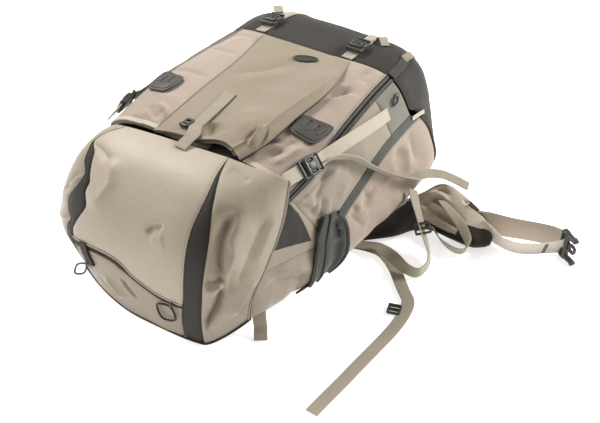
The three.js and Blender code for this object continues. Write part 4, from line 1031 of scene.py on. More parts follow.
def add_cords():
    buckle, lock, clip = add_cord_hardware()
    cord_band("lid_strap_tail", TAIL, WEB["narrow"])
    # The hip belt's webbing is lightened with painted light
    line, normals = cord_band("hip_web", BELT_WEB, WEB["belt"], "belt_webbing_painted_light")
    place = int(HIP_KEEPER["part"] * len(line))
    across = np.cross(unit(line[place + 1] - line[place - 1]), normals[place]) * HIP_KEEPER["half"]
    bar = line[place] + np.linspace(-1, 1, HIP_KEEPER["points"])[:, None] * across
    facing = repeated(normals[place], bar)
    keeper = Shape()
    for rise in (HIP_KEEPER["rise"], -HIP_KEEPER["rise"]):
        keeper.add(*ribbon(bar + facing * rise, facing, HIP_KEEPER["width"]))
    keeper.piece("hip_keeper", "buckle_plastic")
    cord_band("belt_loop", BELT_LOOP, WEB["narrow"])
    cord_band("wing_loop", WING_LOOP, WEB["loop"])
    cord_band("shoulder_web", SHOULDER_WEB, WEB["narrow"])
    band("floor_tab_band", "webbing", *route_frames(FLOOR_TAB, 2.0), WEB["narrow"], ("floor_tab",))


# Cloth panels
CRUMPLE = {"waves": 7, "lengths": (0.7, 1.9), "bend": 0.55, "bend_length": 2.6, "level": 0.64, "spread": 2.6}
FOLD = {"crease": 1.3, "gain": 1.5, "rim": 0.4, "rim_place": 1.9, "start": (-0.08, 0.3), "end": (0.7, 1.08)}
CREASE = {"step": 7, "start": (0, 0.25), "end": (0.75, 1)}
SEAM = {"puff": 16, "tuck": 2.6, "fold": 7}


def crumple(points, size, seed):
    """Soft random folds of about the given size, from bent waves."""
    draw = np.random.default_rng(seed)
    total = np.zeros(points.shape[:-1])
    for _ in range(CRUMPLE["waves"]):
        direction, other = unit(draw.normal(size=3)), unit(draw.normal(size=3))
        length, phase = size * draw.uniform(*CRUMPLE["lengths"]), draw.uniform(0, 2 * np.pi)
        swing = np.sin(points @ other * 2 * np.pi / (CRUMPLE["bend_length"] * size) + phase)
        bent = points @ direction + CRUMPLE["bend"] * size * swing
        total += CRUMPLE["level"] - np.abs(np.sin(bent * np.pi / length + phase))
    return total / CRUMPLE["spread"]


def taper(part, start, end):
    """Rises over one stretch of a line and falls over another."""
    return smoothstep(part, *start) * (1 - smoothstep(part, *end))


def fold_height(u, v, scale, folds):
    """Height of folds, each a ridge (or a valley if its depth is negative) from one place to another."""
    total = np.zeros(np.broadcast(u, v).shape)
    for u0, v0, u1, v1, width, depth, bow in folds:
        x, y = (u - u0) * scale[0], (v - v0) * scale[1]
        run = np.array([u1 - u0, v1 - v0]) * scale
        size = np.hypot(*run)
        part = (x * run[0] + y * run[1]) / size**2
        off = ((y * run[0] - x * run[1]) / size - 4 * bow * part * (1 - part)) / width
        rim = FOLD["rim"] * np.exp(-((off - FOLD["rim_place"]) ** 2))
        height = FOLD["gain"] * depth * (np.exp(-np.abs(off) ** FOLD["crease"]) - rim)
        total = total + taper(part, FOLD["start"], FOLD["end"]) * height
    return total


def crease_height(u, v, scale, creases):
    """Height of creases, each along a smooth line, with its own width on either side."""
    place = np.stack(np.broadcast_arrays(u, v), axis=-1) * scale
    total = np.zeros(place.shape[:-1])
    for depth, first, second, *corners in creases:
        corners = np.array(corners) * scale
        line = curve_at(corners, smooth_line(corners, CREASE["step"]))
        nearest, side, part = np.full(total.shape, np.inf), np.zeros(total.shape), np.zeros(total.shape)
        for i, (start, run) in enumerate(zip(line[:-1], np.diff(line, axis=0))):
            away = place - start
            at = np.clip(away @ run / (run @ run), 0, 1)
            distance = np.linalg.norm(away - at[..., None] * run, axis=-1)
            nearer = distance < nearest
            nearest = np.where(nearer, distance, nearest)
            side = np.where(nearer, run[0] * away[..., 1] - run[1] * away[..., 0], side)
            part = np.where(nearer, (i + at) / (len(line) - 1), part)
        height = np.exp(-np.abs(nearest / np.where(side > 0, first, second)) ** FOLD["crease"])
        total = total + depth * taper(part, CREASE["start"], CREASE["end"]) * height
    return total


class Panel:
    """A closed sheet of cloth over a surface, with seams drawn in at its edges, soft folds and a weave."""

    def __init__(self, carrier, places, columns, rows, scale, folds=(), lift=0.0, puff=1.0, tuck=1.2,
                 wrinkle=0.6, size=60, seed=1, extra=None, creases=(), seams="s0 s1 t0 t1"):
        s = np.linspace(0, 1, columns + 1)[:, None]
        t = np.linspace(0, 1, rows + 1)[None, :]
        s, t = np.broadcast_arrays(s, t)
        u, v = np.broadcast_arrays(*places(s, t))
        base = carrier(u, v)
        normal = unit(np.cross(np.gradient(base, axis=0), np.gradient(base, axis=1)))
        middle = (columns // 2, rows // 2)
        normal = normal * (np.sign((normal[middle] * (base[middle] - CORE)).sum()) or 1)
        step_s = np.linalg.norm(np.diff(base, axis=0), axis=-1)
        step_t = np.linalg.norm(np.diff(base, axis=1), axis=-1)
        self.run_s = np.concatenate([np.zeros((1, rows + 1)), step_s.cumsum(axis=0)])
        self.run_t = np.concatenate([np.zeros((columns + 1, 1)), step_t.cumsum(axis=1)], axis=1)
        edges = [self.run_s, self.run_s[-1:] - self.run_s, self.run_t, self.run_t[:, -1:] - self.run_t]
        self.edges = dict(zip(("s0", "s1", "t0", "t1"), edges))
        edge = np.minimum.reduce([self.edges[name] for name in seams.split()])
        inside = 1 - np.exp(-edge / SEAM["puff"])
        height = lift + puff * inside - tuck * np.exp(-((edge / SEAM["tuck"]) ** 2))
        height = height + wrinkle * inside * crumple(base, size, seed)
        folded = fold_height(u, v, scale, folds) + crease_height(u, v, scale, creases)
        height = height + folded * (1 - np.exp(-edge / SEAM["fold"]))
        if extra is not None:
            height = height + extra(s, t, self.edges)
        self.normal, self.grid = normal, (columns, rows)
        self.middle = {"s": (s[:-1, :-1] + s[1:, 1:]) / 2, "t": (t[:-1, :-1] + t[1:, 1:]) / 2}
        self.outer = base + normal * height[..., None]
        self.lower = base + normal * (np.minimum(height, lift)[..., None])

    def flat(self):
        """Width, length and area that the panel was cut to, in metres."""
        a = self.outer[1:, 1:] - self.outer[:-1, :-1]
        b = self.outer[1:, :-1] - self.outer[:-1, 1:]
        area = float(np.linalg.norm(np.cross(a, b), axis=-1).sum() / 2) * MM * MM
        width, length = float(self.run_s[-1].max()) * MM, float(self.run_t[:, -1].max()) * MM
        return (width, length), min(area, width * length)

    def shape(self, thick, look=None):
        columns, rows = self.grid
        under = self.lower - self.normal * thick
        points = np.concatenate([self.outer.reshape(-1, 3), under.reshape(-1, 3)])
        count = (columns + 1) * (rows + 1)
        index = np.arange(count).reshape(columns + 1, rows + 1)
        faces = [*grid_faces(columns, rows).tolist(), *(grid_faces(columns, rows, count)[:, ::-1]).tolist()]
        for line in (index[:, 0], index[:, -1], index[0], index[-1]):
            faces += np.stack([line[:-1], line[1:], line[1:] + count, line[:-1] + count], axis=1).tolist()
        weave = np.stack([self.run_s, self.run_t], axis=-1).reshape(-1, 2)
        looks = np.zeros(len(faces), int)
        if look is not None:
            looks[:columns * rows] = np.where(look(self.middle["s"], self.middle["t"]), 1, 0).ravel()
        return Shape().add(points, faces, np.concatenate([weave, weave]), looks)

    def beside(self, edge, offset):
        """Points and facings of a line that runs along one edge, some way in from it."""
        axis = 0 if edge[0] == "s" else 1
        distance = self.edges[edge]
        outer, normal = self.outer, self.normal
        if axis == 1:
            distance, outer, normal = distance.T, outer.swapaxes(0, 1), normal.swapaxes(0, 1)
        if edge[1] == "1":
            distance, outer, normal = distance[::-1], outer[::-1], normal[::-1]
        i = np.clip((distance < offset).sum(axis=0), 1, len(distance) - 1)
        j = np.arange(distance.shape[1])
        u = ((offset - distance[i - 1, j]) / np.maximum(distance[i, j] - distance[i - 1, j], 1e-6))[:, None]
        return lerp(outer[i - 1, j], outer[i, j], np.clip(u, 0, 1)), normal[i, j]


STITCH = {"pitch": 3.6, "length": 2.5, "half": 0.38}
TEETH = {"pitch": 2.4, "length": 1.5, "half": 1.3}
THREADS = {"pale": Shape(), "dark": Shape()}


STITCH_FACES = np.array(
    [(0, 1, 2), (0, 2, 3), (4, 2, 1), (4, 3, 2), (0, 5, 1), (0, 3, 5), (4, 1, 5), (4, 5, 3)]
)


def stitch(line, normals, thread="pale", lift=0.15, sizes=STITCH):
    """A row of stitches, or of zipper teeth, along a line."""
    run = run_along(line)
    count = int(run[-1] / sizes["pitch"])
    if count < 1:
        return
    at = (np.arange(count) + 0.5) * run[-1] / count
    place, face, ahead = (
        np.stack([np.interp(at, run, values[:, c]) for c in range(3)], axis=1)
        for values in (line, normals, np.gradient(line, run, axis=0))
    )
    face, ahead = unit(face), unit(ahead)
    half, reach = sizes["half"], sizes["length"] / 2
    side = np.cross(face, ahead) * half
    rise = face * half
    corners = [ahead * reach - rise, side, rise, -side, -ahead * reach - rise, -rise]
    points = np.stack(corners, axis=1) + (place + face * lift)[:, None]
    triangles = len(corners) * np.arange(count)[:, None, None] + STITCH_FACES
    THREADS[thread].add(points.reshape(-1, 3), triangles.reshape(-1, 3).tolist())


def sew(panel, edges, offsets=(3.0,), thread="pale"):
    for edge in edges.split():
        for offset in offsets:
            stitch(*panel.beside(edge, offset), thread)


def cloth_piece(name, panel, thick, slot, nodes=None, look=None, others=()):
    """A panel as a piece of cloth that stands for its node."""
    nodes = (name,) if nodes is None else nodes
    made = panel.shape(thick, look).piece(name + "_cloth", slot, nodes, others, sharp=60)
    flat, area = panel.flat()
    return made


def piping(name, radius, slot, *lines, sides=8):
    """Round piping along lines of points with their facings."""
    shape = Shape()
    for line, normals in lines:
        shape.add(*tube(line + normals * radius * 0.5, radius, sides, step=4))
    return shape.piece(name, slot)


def binding(name, panel, edge, width, thick, slot, nodes=()):
    """A flat binding folded over one edge of a panel."""
    line, normals = panel.beside(edge, width / 2 - 1)
    return band(name, slot, line + normals * thick * 0.3, normals, width, nodes, thick)


BODY_SCALE = (HALF_GIRTH, SIDE_LENGTH)
# Share of the grid spans that pieces on the right (1) and the left (-1) are made with
DETAIL = {1: 1.0, -1: 0.5}
LID_SCALE = (LID["half"], LID["length"])


def spans(side, *counts):
    """Grid spans for a piece on one side."""
    return [int(DETAIL[side] * count) for count in counts]


def inset(places, size_s, size_t):
    """Draws a panel in from its edges by half a gap."""
    s_gap, t_gap = GAP / 2 / size_s, GAP / 2 / size_t
    return lambda s, t: places(lerp(s_gap, 1 - s_gap, s), lerp(t_gap, 1 - t_gap, t))


def ruled(side, first, second, size_s=200, size_t=100):
    """Places of a body panel ruled between two lines, on the right (side 1) or the left (side -1)."""

    def places(s, t):
        (girth_a, length_a), (girth_b, length_b) = first(s), second(s)
        return side * lerp(girth_a, girth_b, t), lerp(length_a, length_b, t)

    return inset(places, size_s, size_t)


# Folds: from one place to another, with width, height (valleys are negative) and bow in millimetres
FRONT_FOLDS = (
    (-0.212, 0.312, -0.148, 0.25, 6, -2, 5),
    (-0.186, 0.332, -0.126, 0.27, 6, 2, 5),
    (0.186, 0.7, 0.222, 0.8, 8, -4.5, 3),
    (0.205, 0.655, 0.24, 0.79, 9, 3, 2),
    (0.226, 0.86, 0.205, 0.97, 7, -2.5, 2),
    (0.248, 0.87, 0.228, 0.985, 7, 2, 2),
    (0.15, 0.26, 0.2, 0.37, 8, -4, 3),
    (0.19, 0.245, 0.235, 0.35, 7, -4, 3),
    (0.172, 0.25, 0.222, 0.36, 7, 3, 3),
    (-0.242, 0.96, -0.262, 0.79, 10, -3, 3),
)
POCKET_FOLDS = (
    (0.885, 0.795, 0.955, 0.93, 4, 7, 0),
    (0.925, 0.785, 0.995, 0.9, 3, -4, 0),
    (0.08, 0.45, 0.52, 0.19, 13, -2.2, 5),
    (0.47, 0.86, 0.6, 0.97, 12, -7, 0),
    (0.62, 0.66, 0.82, 0.9, 18, 2.5, 4),
)
SIDE_FOLDS = {
    "side_pocket": (
        (0.35, 0.236, 0.378, 0.31, 5, -3, 2),
        (0.345, 0.245, 0.42, 0.345, 8, 3, -4),
        (0.36, 0.25, 0.47, 0.325, 7, -3, 3),
        (0.312, 0.4, 0.336, 0.29, 9, 3, 3),
        (0.398, 0.37, 0.468, 0.315, 6, -3.5, 2),
        (0.35, 0.42, 0.4, 0.52, 14, 2.5, 3),
    ),
    "side_panel": (
        (0.482, 0.476, 0.53, 0.494, 5, -3.5, 2),
        (0.466, 0.54, 0.524, 0.588, 7, -3.5, 3),
        (0.5, 0.51, 0.56, 0.53, 8, 2.5, 3),
        (0.5, 0.755, 0.456, 0.84, 8, -3, 2),
        (0.56, 0.9, 0.45, 0.93, 9, -3.5, 4),
        (0.55, 0.83, 0.46, 0.88, 9, 2.5, 4),
        (0.59, 0.5, 0.65, 0.64, 14, -3.5, 5),
        (0.57, 0.68, 0.67, 0.8, 14, 3, 4),
    ),
    "side_base": (
        (0.55, 0.06, 0.62, 0.2, 10, -4, 4),
        (0.52, 0.1, 0.6, 0.24, 11, 3, 4),
        (0.56, 0.2, 0.7, 0.16, 12, -3, 4),
    ),
}
LID_FOLDS = (
    (-0.21, 0.752, 0.04, 0.845, 2.6, -3, 2),
    (-0.5, 0.8, -0.2, 0.9, 9, 3, 3),
    (-1.1, 0.6, -1.4, 0.63, 9, 3, 0),
    (1.46, 0.46, 1.46, 0.76, 14, -3, 0),
)
# Creases: height (valleys are negative), widths on either side in millimetres, then places along the line
FRONT_CREASES = (
    (-4, 4, 7, (-0.239, 0.24), (-0.204, 0.23), (-0.175, 0.226)),
    (4, 4, 8, (-0.21, 0.29), (-0.165, 0.25), (-0.139, 0.226)),
    (-4, 4, 7, (-0.165, 0.31), (-0.133, 0.28), (-0.112, 0.25)),
    (-5, 5, 9, (0.2, 0.27), (0.216, 0.324), (0.226, 0.378), (0.236, 0.418)),
    (4.5, 9, 4, (0.235, 0.25), (0.245, 0.298), (0.252, 0.368), (0.258, 0.408)),
    (-5, 5, 10, (0.18, 0.65), (0.191, 0.706), (0.204, 0.783), (0.213, 0.836)),
    (-2.5, 5, 12, (-0.29, 0.57), (-0.258, 0.569), (-0.207, 0.572), (-0.13, 0.569)),
    (-2.5, 5, 12, (-0.25, 0.925), (-0.22, 0.93), (-0.172, 0.94), (-0.12, 0.933)),
    (-2, 5, 10, (-0.25, 0.77), (-0.216, 0.776), (-0.175, 0.773), (-0.13, 0.783)),
    (2, 6, 14, (-0.27, 0.37), (-0.239, 0.378), (-0.188, 0.385), (-0.13, 0.395)),
)
SIDE_CREASES = {
    "side_pocket": (
        (5, 3, 14, (0.366, 0.234), (0.366, 0.311), (0.36, 0.395), (0.35, 0.502)),
        (-5, 5, 10, (0.332, 0.452), (0.358, 0.391), (0.409, 0.324), (0.451, 0.284)),
        (3, 8, 8, (0.399, 0.538), (0.422, 0.482), (0.444, 0.428)),
    ),
    "side_panel": (
        (-4.5, 5, 10, (0.51, 0.45), (0.518, 0.468), (0.553, 0.485), (0.592, 0.518)),
        (-5, 5, 12, (0.495, 0.64), (0.502, 0.615), (0.527, 0.559), (0.531, 0.508)),
        (-3.5, 4, 10, (0.46, 0.8), (0.457, 0.826), (0.451, 0.896), (0.435, 0.96)),
        (4, 10, 4, (0.47, 0.82), (0.486, 0.763), (0.502, 0.702), (0.508, 0.645)),
    ),
}
LID_CREASES = (
    (-16, 16, 5, (1.258, 0.215), (1.248, 0.321), (1.238, 0.391), (1.268, 0.465), (1.308, 0.548),
     (1.308, 0.615)),
    (6, 4, 22, (1.31, 0.23), (1.3, 0.328), (1.3, 0.385), (1.385, 0.428), (1.4, 0.495), (1.4, 0.575)),
    (-9, 4, 14, (1.08, 0.622), (1.248, 0.615), (1.4, 0.575)),
    (5, 14, 3, (1.08, 0.648), (1.25, 0.643), (1.38, 0.605)),
    (-16, 9, 4, (1.388, 0.6), (1.378, 0.676), (1.318, 0.756), (1.15, 0.9)),
    (5, 4, 14, (1.43, 0.61), (1.42, 0.68), (1.37, 0.76), (1.21, 0.9)),
    (-8, 20, 16, (1.729, 0.18), (1.639, 0.304), (1.609, 0.452), (1.599, 0.64)),
    (3, 8, 12, (1.8, 0.2), (1.76, 0.33), (1.74, 0.45)),
    (5, 12, 6, (1.82, 0.54), (1.749, 0.689), (1.609, 0.85)),
    (-4, 5, 8, (1.88, 0.58), (1.8, 0.72), (1.66, 0.87)),
    (-3, 8, 5, (0.8, 0.035), (1.028, 0.05), (1.26, 0.08)),
    (-5, 11, 4, (-1.12, 0.148), (-0.877, 0.174), (-0.757, 0.197), (-0.62, 0.225)),
    (4.5, 16, 11, (-0.6, 0.19), (-0.526, 0.288), (-0.486, 0.328), (-0.506, 0.36), (-0.596, 0.435),
     (-0.8, 0.51)),
    (-6.5, 9, 3, (0.23, 0.5), (0.286, 0.462), (0.386, 0.438), (0.48, 0.435)),
    (2, 14, 10, (0.3, 0.505), (0.4, 0.5), (0.52, 0.485)),
    (-5, 5, 5, (-0.907, 0.344), (-1.048, 0.368), (-1.148, 0.428), (-1.25, 0.48)),
    (4, 7, 4, (-0.93, 0.365), (-1.07, 0.4), (-1.17, 0.455)),
)
WING_FOLDS = (
    (0.84, 0.29, 0.79, 0.47, 3, -4, 0),
    (0.56, 0.23, 0.35, 0.41, 3.5, -5, 0),
    (0.36, 0.39, 0.26, 0.6, 3.5, -5, 0),
    (0.58, 0.32, 0.54, 0.52, 3.5, -6, 0),
    (0.55, 0.49, 0.4, 0.64, 3.5, -6, 0),
    (0.93, 0.2, 0.95, 0.42, 8, -4, 0),
    (0.82, 0.58, 0.99, 0.63, 3, -4.5, 0),
    (0.72, 0.22, 0.66, 0.5, 5, 4, 0),
    (0.46, 0.25, 0.44, 0.52, 5, 4, 0),
)

# Edges of the stretch pocket as drawn on the side, and of the open end of the side zipper
MESH_EDGE = table("girth length", (0.33, 0.2), (0.348, 0.217), (0.399, 0.244), (0.457, 0.258), (0.52, 0.266))
MESH_HEM = {"girth": 0.417, "slope": 0.338}
ZIP_MOUTH = table(
    "left_girth left_length ridge_girth ridge_length right_girth right_length",
    (0.455, 0.335, 0.462, 0.366, 0.472, 0.4),
    (0.489, 0.296, 0.5, 0.336, 0.51, 0.419),
    (0.524, 0.281, 0.53, 0.316, 0.545, 0.42),
    (0.563, 0.261, 0.565, 0.303, 0.585, 0.408),
    (0.601, 0.243, 0.602, 0.287, 0.622, 0.392),
    (0.653, 0.237, 0.652, 0.27, 0.66, 0.335),
)
WING_EDGE = table(
    "part near", (0, 0.97), (0.11, 0.79), (0.2, 0.5), (0.31, 0.18), (0.47, 0.08), (0.6, 0.09),
    (0.63, 0.41), (0.75, 0.54), (0.93, 1), (1, 1),
)
WING_PATCH = {"start": 0.61, "end": 0.9, "low": 0.83}
# A near-black sheet under the pocket's open mouth: painted shade inside the opening
POCKET_MOUTH_SHADE = {"girth": (0.06, 0.165), "length": (0.185, 0.29), "lift": 4.5}
MOUTH_TRIM = {"drop": 3, "start": 0.42, "end": 0.95}
# A dark band standing under the pocket's right edge: painted shadow in the gap below it
POCKET_EDGE_SHADOW = {"start": 16, "inset": 2.5, "height": 9, "thick": 1}
POCKET_HEM = {"near": 17, "far": 6, "drop": 5.5, "crease": 2.4, "crease_width": 2.2,
              "widens": (0.1, 0.8), "start": (0.05, 0.35)}
POCKET_SCALE = (190, 310)
ZIP_GROOVE = {"step": 0.9, "depth": 2.2, "width": 3}
# The lining of the side zipper's open end: its hollow, and the slot in it with a bridge, the slot painted
# near-black as the shade inside the opening
ZIP_LINING = {
    "lift": 7, "depth": 4.5, "middle": 0.68, "width": 0.16, "start": (0.05, 0.2),
    "slot": 0.17, "slot_start": 0.12, "slot_end": 0.93, "bridge": 0.03,
}
# Rolled edges of the open end: radius and lift
ZIP_EDGES = {"left": (4.2, 4), "ridge": (2.6, 6), "right": (3.2, 5)}
LID_RIM = {"start": -0.95, "end": 1.97, "points": 60, "t": 0.992, "facing_t": 0.97, "radius": 1.7}


def zip_groove(s, t, edges):
    """The groove between the two halves of a zipper strip, with its upper half lying a little higher."""
    across = edges["t0"] - edges["t1"]
    groove = np.exp(-((across / ZIP_GROOVE["width"]) ** 2))
    return ZIP_GROOVE["step"] * (across < 0) - ZIP_GROOVE["depth"] * groove


def pocket_hem(s, t, edges):
    """The pocket's right edge turns down below a crease."""
    hem = lerp(POCKET_HEM["far"], POCKET_HEM["near"], smoothstep(t, *POCKET_HEM["widens"]))
    inward = edges["s1"]
    turned = -POCKET_HEM["drop"] * np.clip(1 - inward / hem, 0, 1)
    crease = POCKET_HEM["crease"] * np.exp(-np.abs((inward - hem) / POCKET_HEM["crease_width"]))
    return smoothstep(t, *POCKET_HEM["start"]) * (turned + crease)


def add_body_shell():
    clear, clear_length = GAP / HALF_GIRTH, GAP / SIDE_LENGTH

    def front(s, t):
        length = lerp(FRONT_HEM, 1 - clear_length, t)
        reach = front_zip(length) - FRONT_ZIP_HALF - clear
        return lerp(-reach, reach, s), length

    panel = Panel(pack_point, front, 165, 140, BODY_SCALE, FRONT_FOLDS, creases=FRONT_CREASES, puff=1.5,
                  wrinkle=1.8, size=85, seed=3)
    sew(panel, "s0 s1 t1", (3.0,))
    cloth_piece("front_panel", panel, LINED, "rose_cloth")
    binding("front_hem", panel, "t0", 9, 2.6, "pale_webbing")
    sew(panel, "t0", (9.5,))
    piping("front_piping", 1.2, "tan_cloth", panel.beside("s0", 0.2), panel.beside("s1", 0.2))
    piping("boot_piping", 1.3, "charcoal_cloth", panel.beside("t1", 0.2))

    def collar(s, t):
        return lerp(-COLLAR["reach"], COLLAR["reach"], s), lerp(COLLAR["near"], FRONT_HEM - COLLAR["gap"], t)

    panel = Panel(pack_point, collar, 60, 20, BODY_SCALE, lift=-COLLAR["drop"], wrinkle=1.0, size=40, seed=4)
    # The collar's outer parts are painted charcoal as shade where it sinks under the lid
    cloth_piece("collar", panel, CLOTH, "grey_cloth", look=lambda s, t: (s < 0.16) | (s > 0.66),
                others=("charcoal_cloth",))

    def boot(s, t):
        return lerp(-1, 1, s), np.minimum(t, 0.99999)

    boot_scale = (HALF_GIRTH, DOME["arc"])
    panel = Panel(boot_point, boot, 180, 60, boot_scale, puff=1.0, wrinkle=1.2, size=80, seed=5, seams="t0")
    sew(panel, "t0", (4.0,), "dark")
    shape = panel.shape(PADDED)
    shape.piece("bottom_boot_pad", "charcoal_cloth", ("bottom_boot",), sharp=60)

    def back(s, t):
        girth = lerp(BACK_EDGE + clear, 2 - BACK_EDGE - clear, s)
        return np.where(girth > 1, girth - 2, girth), lerp(0, 1 - clear_length, t)

    panel = Panel(pack_point, back, 50, 60, BODY_SCALE, puff=-0.5, wrinkle=0.5, size=60, seed=6)
    shape = panel.shape(PADDED)
    pad_length = BACK_PAD["far"] - BACK_PAD["near"]
    outline = rounded(2 * BACK_PAD["half"], pad_length, BACK_PAD["corner"])
    pad, faces = moulding([outline], 0, BACK_PAD["thick"], 4.0)
    shape.add(pad + [0, (BACK_PAD["far"] + BACK_PAD["near"]) / 2, 0], faces)
    shape.piece("back_panel_pad", "charcoal_cloth", ("back_panel",))


def add_body_side(side, name):
    far = SIDE_END[side]

    def on_front_zip(start, end):
        return lambda s: (front_zip(lerp(start, end, s)) + FRONT_ZIP_HALF, lerp(start, end, s))

    def on_side_zip(start, end, offset):
        return lambda s: beside_zip(lerp(start, end, s), offset)

    def straight(start, end):
        return lambda s: (lerp(start[0], end[0], s), lerp(start[1], end[1], s))

    def made(kind, places, grid, thick, slot, stitched="", look=None, others=(), **options):
        seed = len(kind) + 7 * side + 11
        panel = Panel(pack_point, places, *spans(side, *grid), BODY_SCALE, SIDE_FOLDS.get(kind, ()),
                      creases=SIDE_CREASES.get(kind, ()), seed=seed, **options)
        sew(panel, stitched)
        cloth_piece(f"{kind}_{name}", panel, thick, slot, look=look, others=others)
        return panel

    def teeth(strip):
        """A coil of teeth in the groove of a zipper strip."""
        stitch(*strip.beside("t0", strip.edges["t0"].max() / 2), "dark", 0.6, TEETH)

    mouth_start = (front_zip(SIDE_MOUTH["length"]) + FRONT_ZIP_HALF, SIDE_MOUTH["length"])
    mouth = straight(mouth_start, beside_zip(SIDE_MOUTH["part"], -SIDE_ZIP_HALF))
    near_mesh = straight((front_zip(0) + FRONT_ZIP_HALF, 0), (SIDE_MOUTH["hem"], 0))
    near_base = straight((SIDE_MOUTH["hem"], 0), (BACK_EDGE, 0))
    strip = ruled(side, lambda s: (front_zip(s) - FRONT_ZIP_HALF, s), on_front_zip(0, 1), 415, 13)
    teeth(made("front_zip", strip, (160, 18), STRIP, "zipper_tape", "t0 t1", lift=STRIP_SINK, puff=0.6,
               wrinkle=0.2, size=30, extra=zip_groove))
    yoke = ruled(side, on_front_zip(YOKE["length"], far), on_side_zip(YOKE["part"], far, -SIDE_ZIP_HALF))
    made("strap_yoke", yoke, (36, 36), LINED, "grey_cloth", "s0 t0 t1", wrinkle=0.5, size=40)
    zip_side = on_side_zip(SIDE_MOUTH["part"], YOKE["part"], -SIDE_ZIP_HALF)
    pocket = ruled(side, on_front_zip(SIDE_MOUTH["length"], YOKE["length"]), zip_side)
    made("side_pocket", pocket, (120, 80), LINED, "tan_cloth", "t0 t1", puff=2.0, wrinkle=1.8, size=60)
    mesh = ruled(side, near_mesh, mouth, 90, 90)

    def past_mesh(s, t):
        """Where tan cloth shows beyond the stretch pocket's edges."""
        girth, length = mesh(s, t)
        beyond = length > np.interp(np.abs(girth), MESH_EDGE["girth"], MESH_EDGE["length"])
        return beyond | (np.abs(girth) > MESH_HEM["girth"] + MESH_HEM["slope"] * length)

    made("side_mesh", mesh, (90, 90), STRIP, "charcoal_cloth", puff=1.5, wrinkle=0.8, size=40,
         look=past_mesh, others=("tan_cloth",))
    base = ruled(side, near_base, on_side_zip(SIDE_MOUTH["part"], 0, -SIDE_ZIP_HALF))
    made("side_base", base, (80, 70), STRIP, "tan_cloth", "t1", puff=3.0, wrinkle=1.5, size=55)
    edges = [on_side_zip(SIDE_PANEL["strip_start"], far, k * SIDE_ZIP_STRIP) for k in (-1, 1)]
    trim = ruled(side, *edges, 450, 12)
    made("side_zip", trim, (160, 18), STRIP, "zip_cover", "t0 t1", lift=1.2, puff=0.8, wrinkle=0.4, size=40)
    back_edge = straight((BACK_EDGE, SIDE_PANEL["back_start"]), (BACK_EDGE, far))
    lower = ruled(side, on_side_zip(SIDE_PANEL["zip_start"], far, SIDE_ZIP_HALF), back_edge)
    wall = made("side_panel", lower, (130, 80), PADDED, "rose_cloth", "t0", puff=2.0, wrinkle=2.4, size=75)
    line, normals = wall.beside("s1", 0.2)
    seam = (line + [0, BOOT_EDGE["past"], 0], normals)
    piping(f"boot_seam_{name}", BOOT_EDGE["radius"], "charcoal_cloth", seam)


def add_zip_mouth():
    """The open lower end of the right side zipper: a dark lining between thick rolled edges, its slot painted
    near-black as shade.
    """

    def line(column, part):
        """Girth and length of places along one line of the table."""
        row = part * (len(ZIP_MOUTH["left_girth"]) - 1)
        columns = (ZIP_MOUTH[f"{column}_{kind}"] for kind in ("girth", "length"))
        return [np.interp(row, np.arange(len(values)), values) for values in columns]

    def lining(s, t):
        (girth_a, length_a), (girth_b, length_b) = line("left", s), line("right", s)
        return lerp(girth_a, girth_b, t), lerp(length_a, length_b, t)

    def hollow(s, t, edges):
        dip = np.exp(-(((t - ZIP_LINING["middle"]) / ZIP_LINING["width"]) ** 2))
        return -ZIP_LINING["depth"] * dip * smoothstep(s, *ZIP_LINING["start"])

    # Faces of the slot, painted near-black as the shade inside the opening
    def slot(s, t):
        across = np.abs(t - ZIP_LINING["middle"]) < ZIP_LINING["slot"]
        lengthwise = (s > ZIP_LINING["slot_start"]) & (s < ZIP_LINING["slot_end"])
        return across & lengthwise & (np.abs(s - 0.5) >= ZIP_LINING["bridge"])

    panel = Panel(pack_point, lining, 90, 60, BODY_SCALE, lift=ZIP_LINING["lift"], puff=0.5, wrinkle=0.5,
                  size=30, seed=41, extra=hollow)
    cloth_piece("side_zip_lining", panel, STRIP, "zip_cover", nodes=(), look=slot, others=("pull_cord",))
    for column, (radius, lift) in ZIP_EDGES.items():
        girth, length = line(column, np.linspace(0, 1, 14))
        normals = outward(pack_point, girth, length, 0.01)
        rolled_edge = (pack_point(girth, length) + normals * lift, normals)
        piping(f"side_zip_edge_{column}", radius, "zip_tube", rolled_edge, sides=12)


def lid_field(start, end):
    """Places of the lid's middle between the gussets, and between two lines across it."""
    clear = GAP / LID["half"]

    def places(s, u):
        t = lerp(start(0.0), end(0.0), u)
        a = np.zeros_like(t)
        for _ in range(4):
            left = along(GUSSET["left"], "t", "inner", t) + clear
            a = lerp(left, along(GUSSET["right"], "t", "inner", t) - clear, s)
            t = lerp(start(a), end(a), u)
        return a, t

    return places


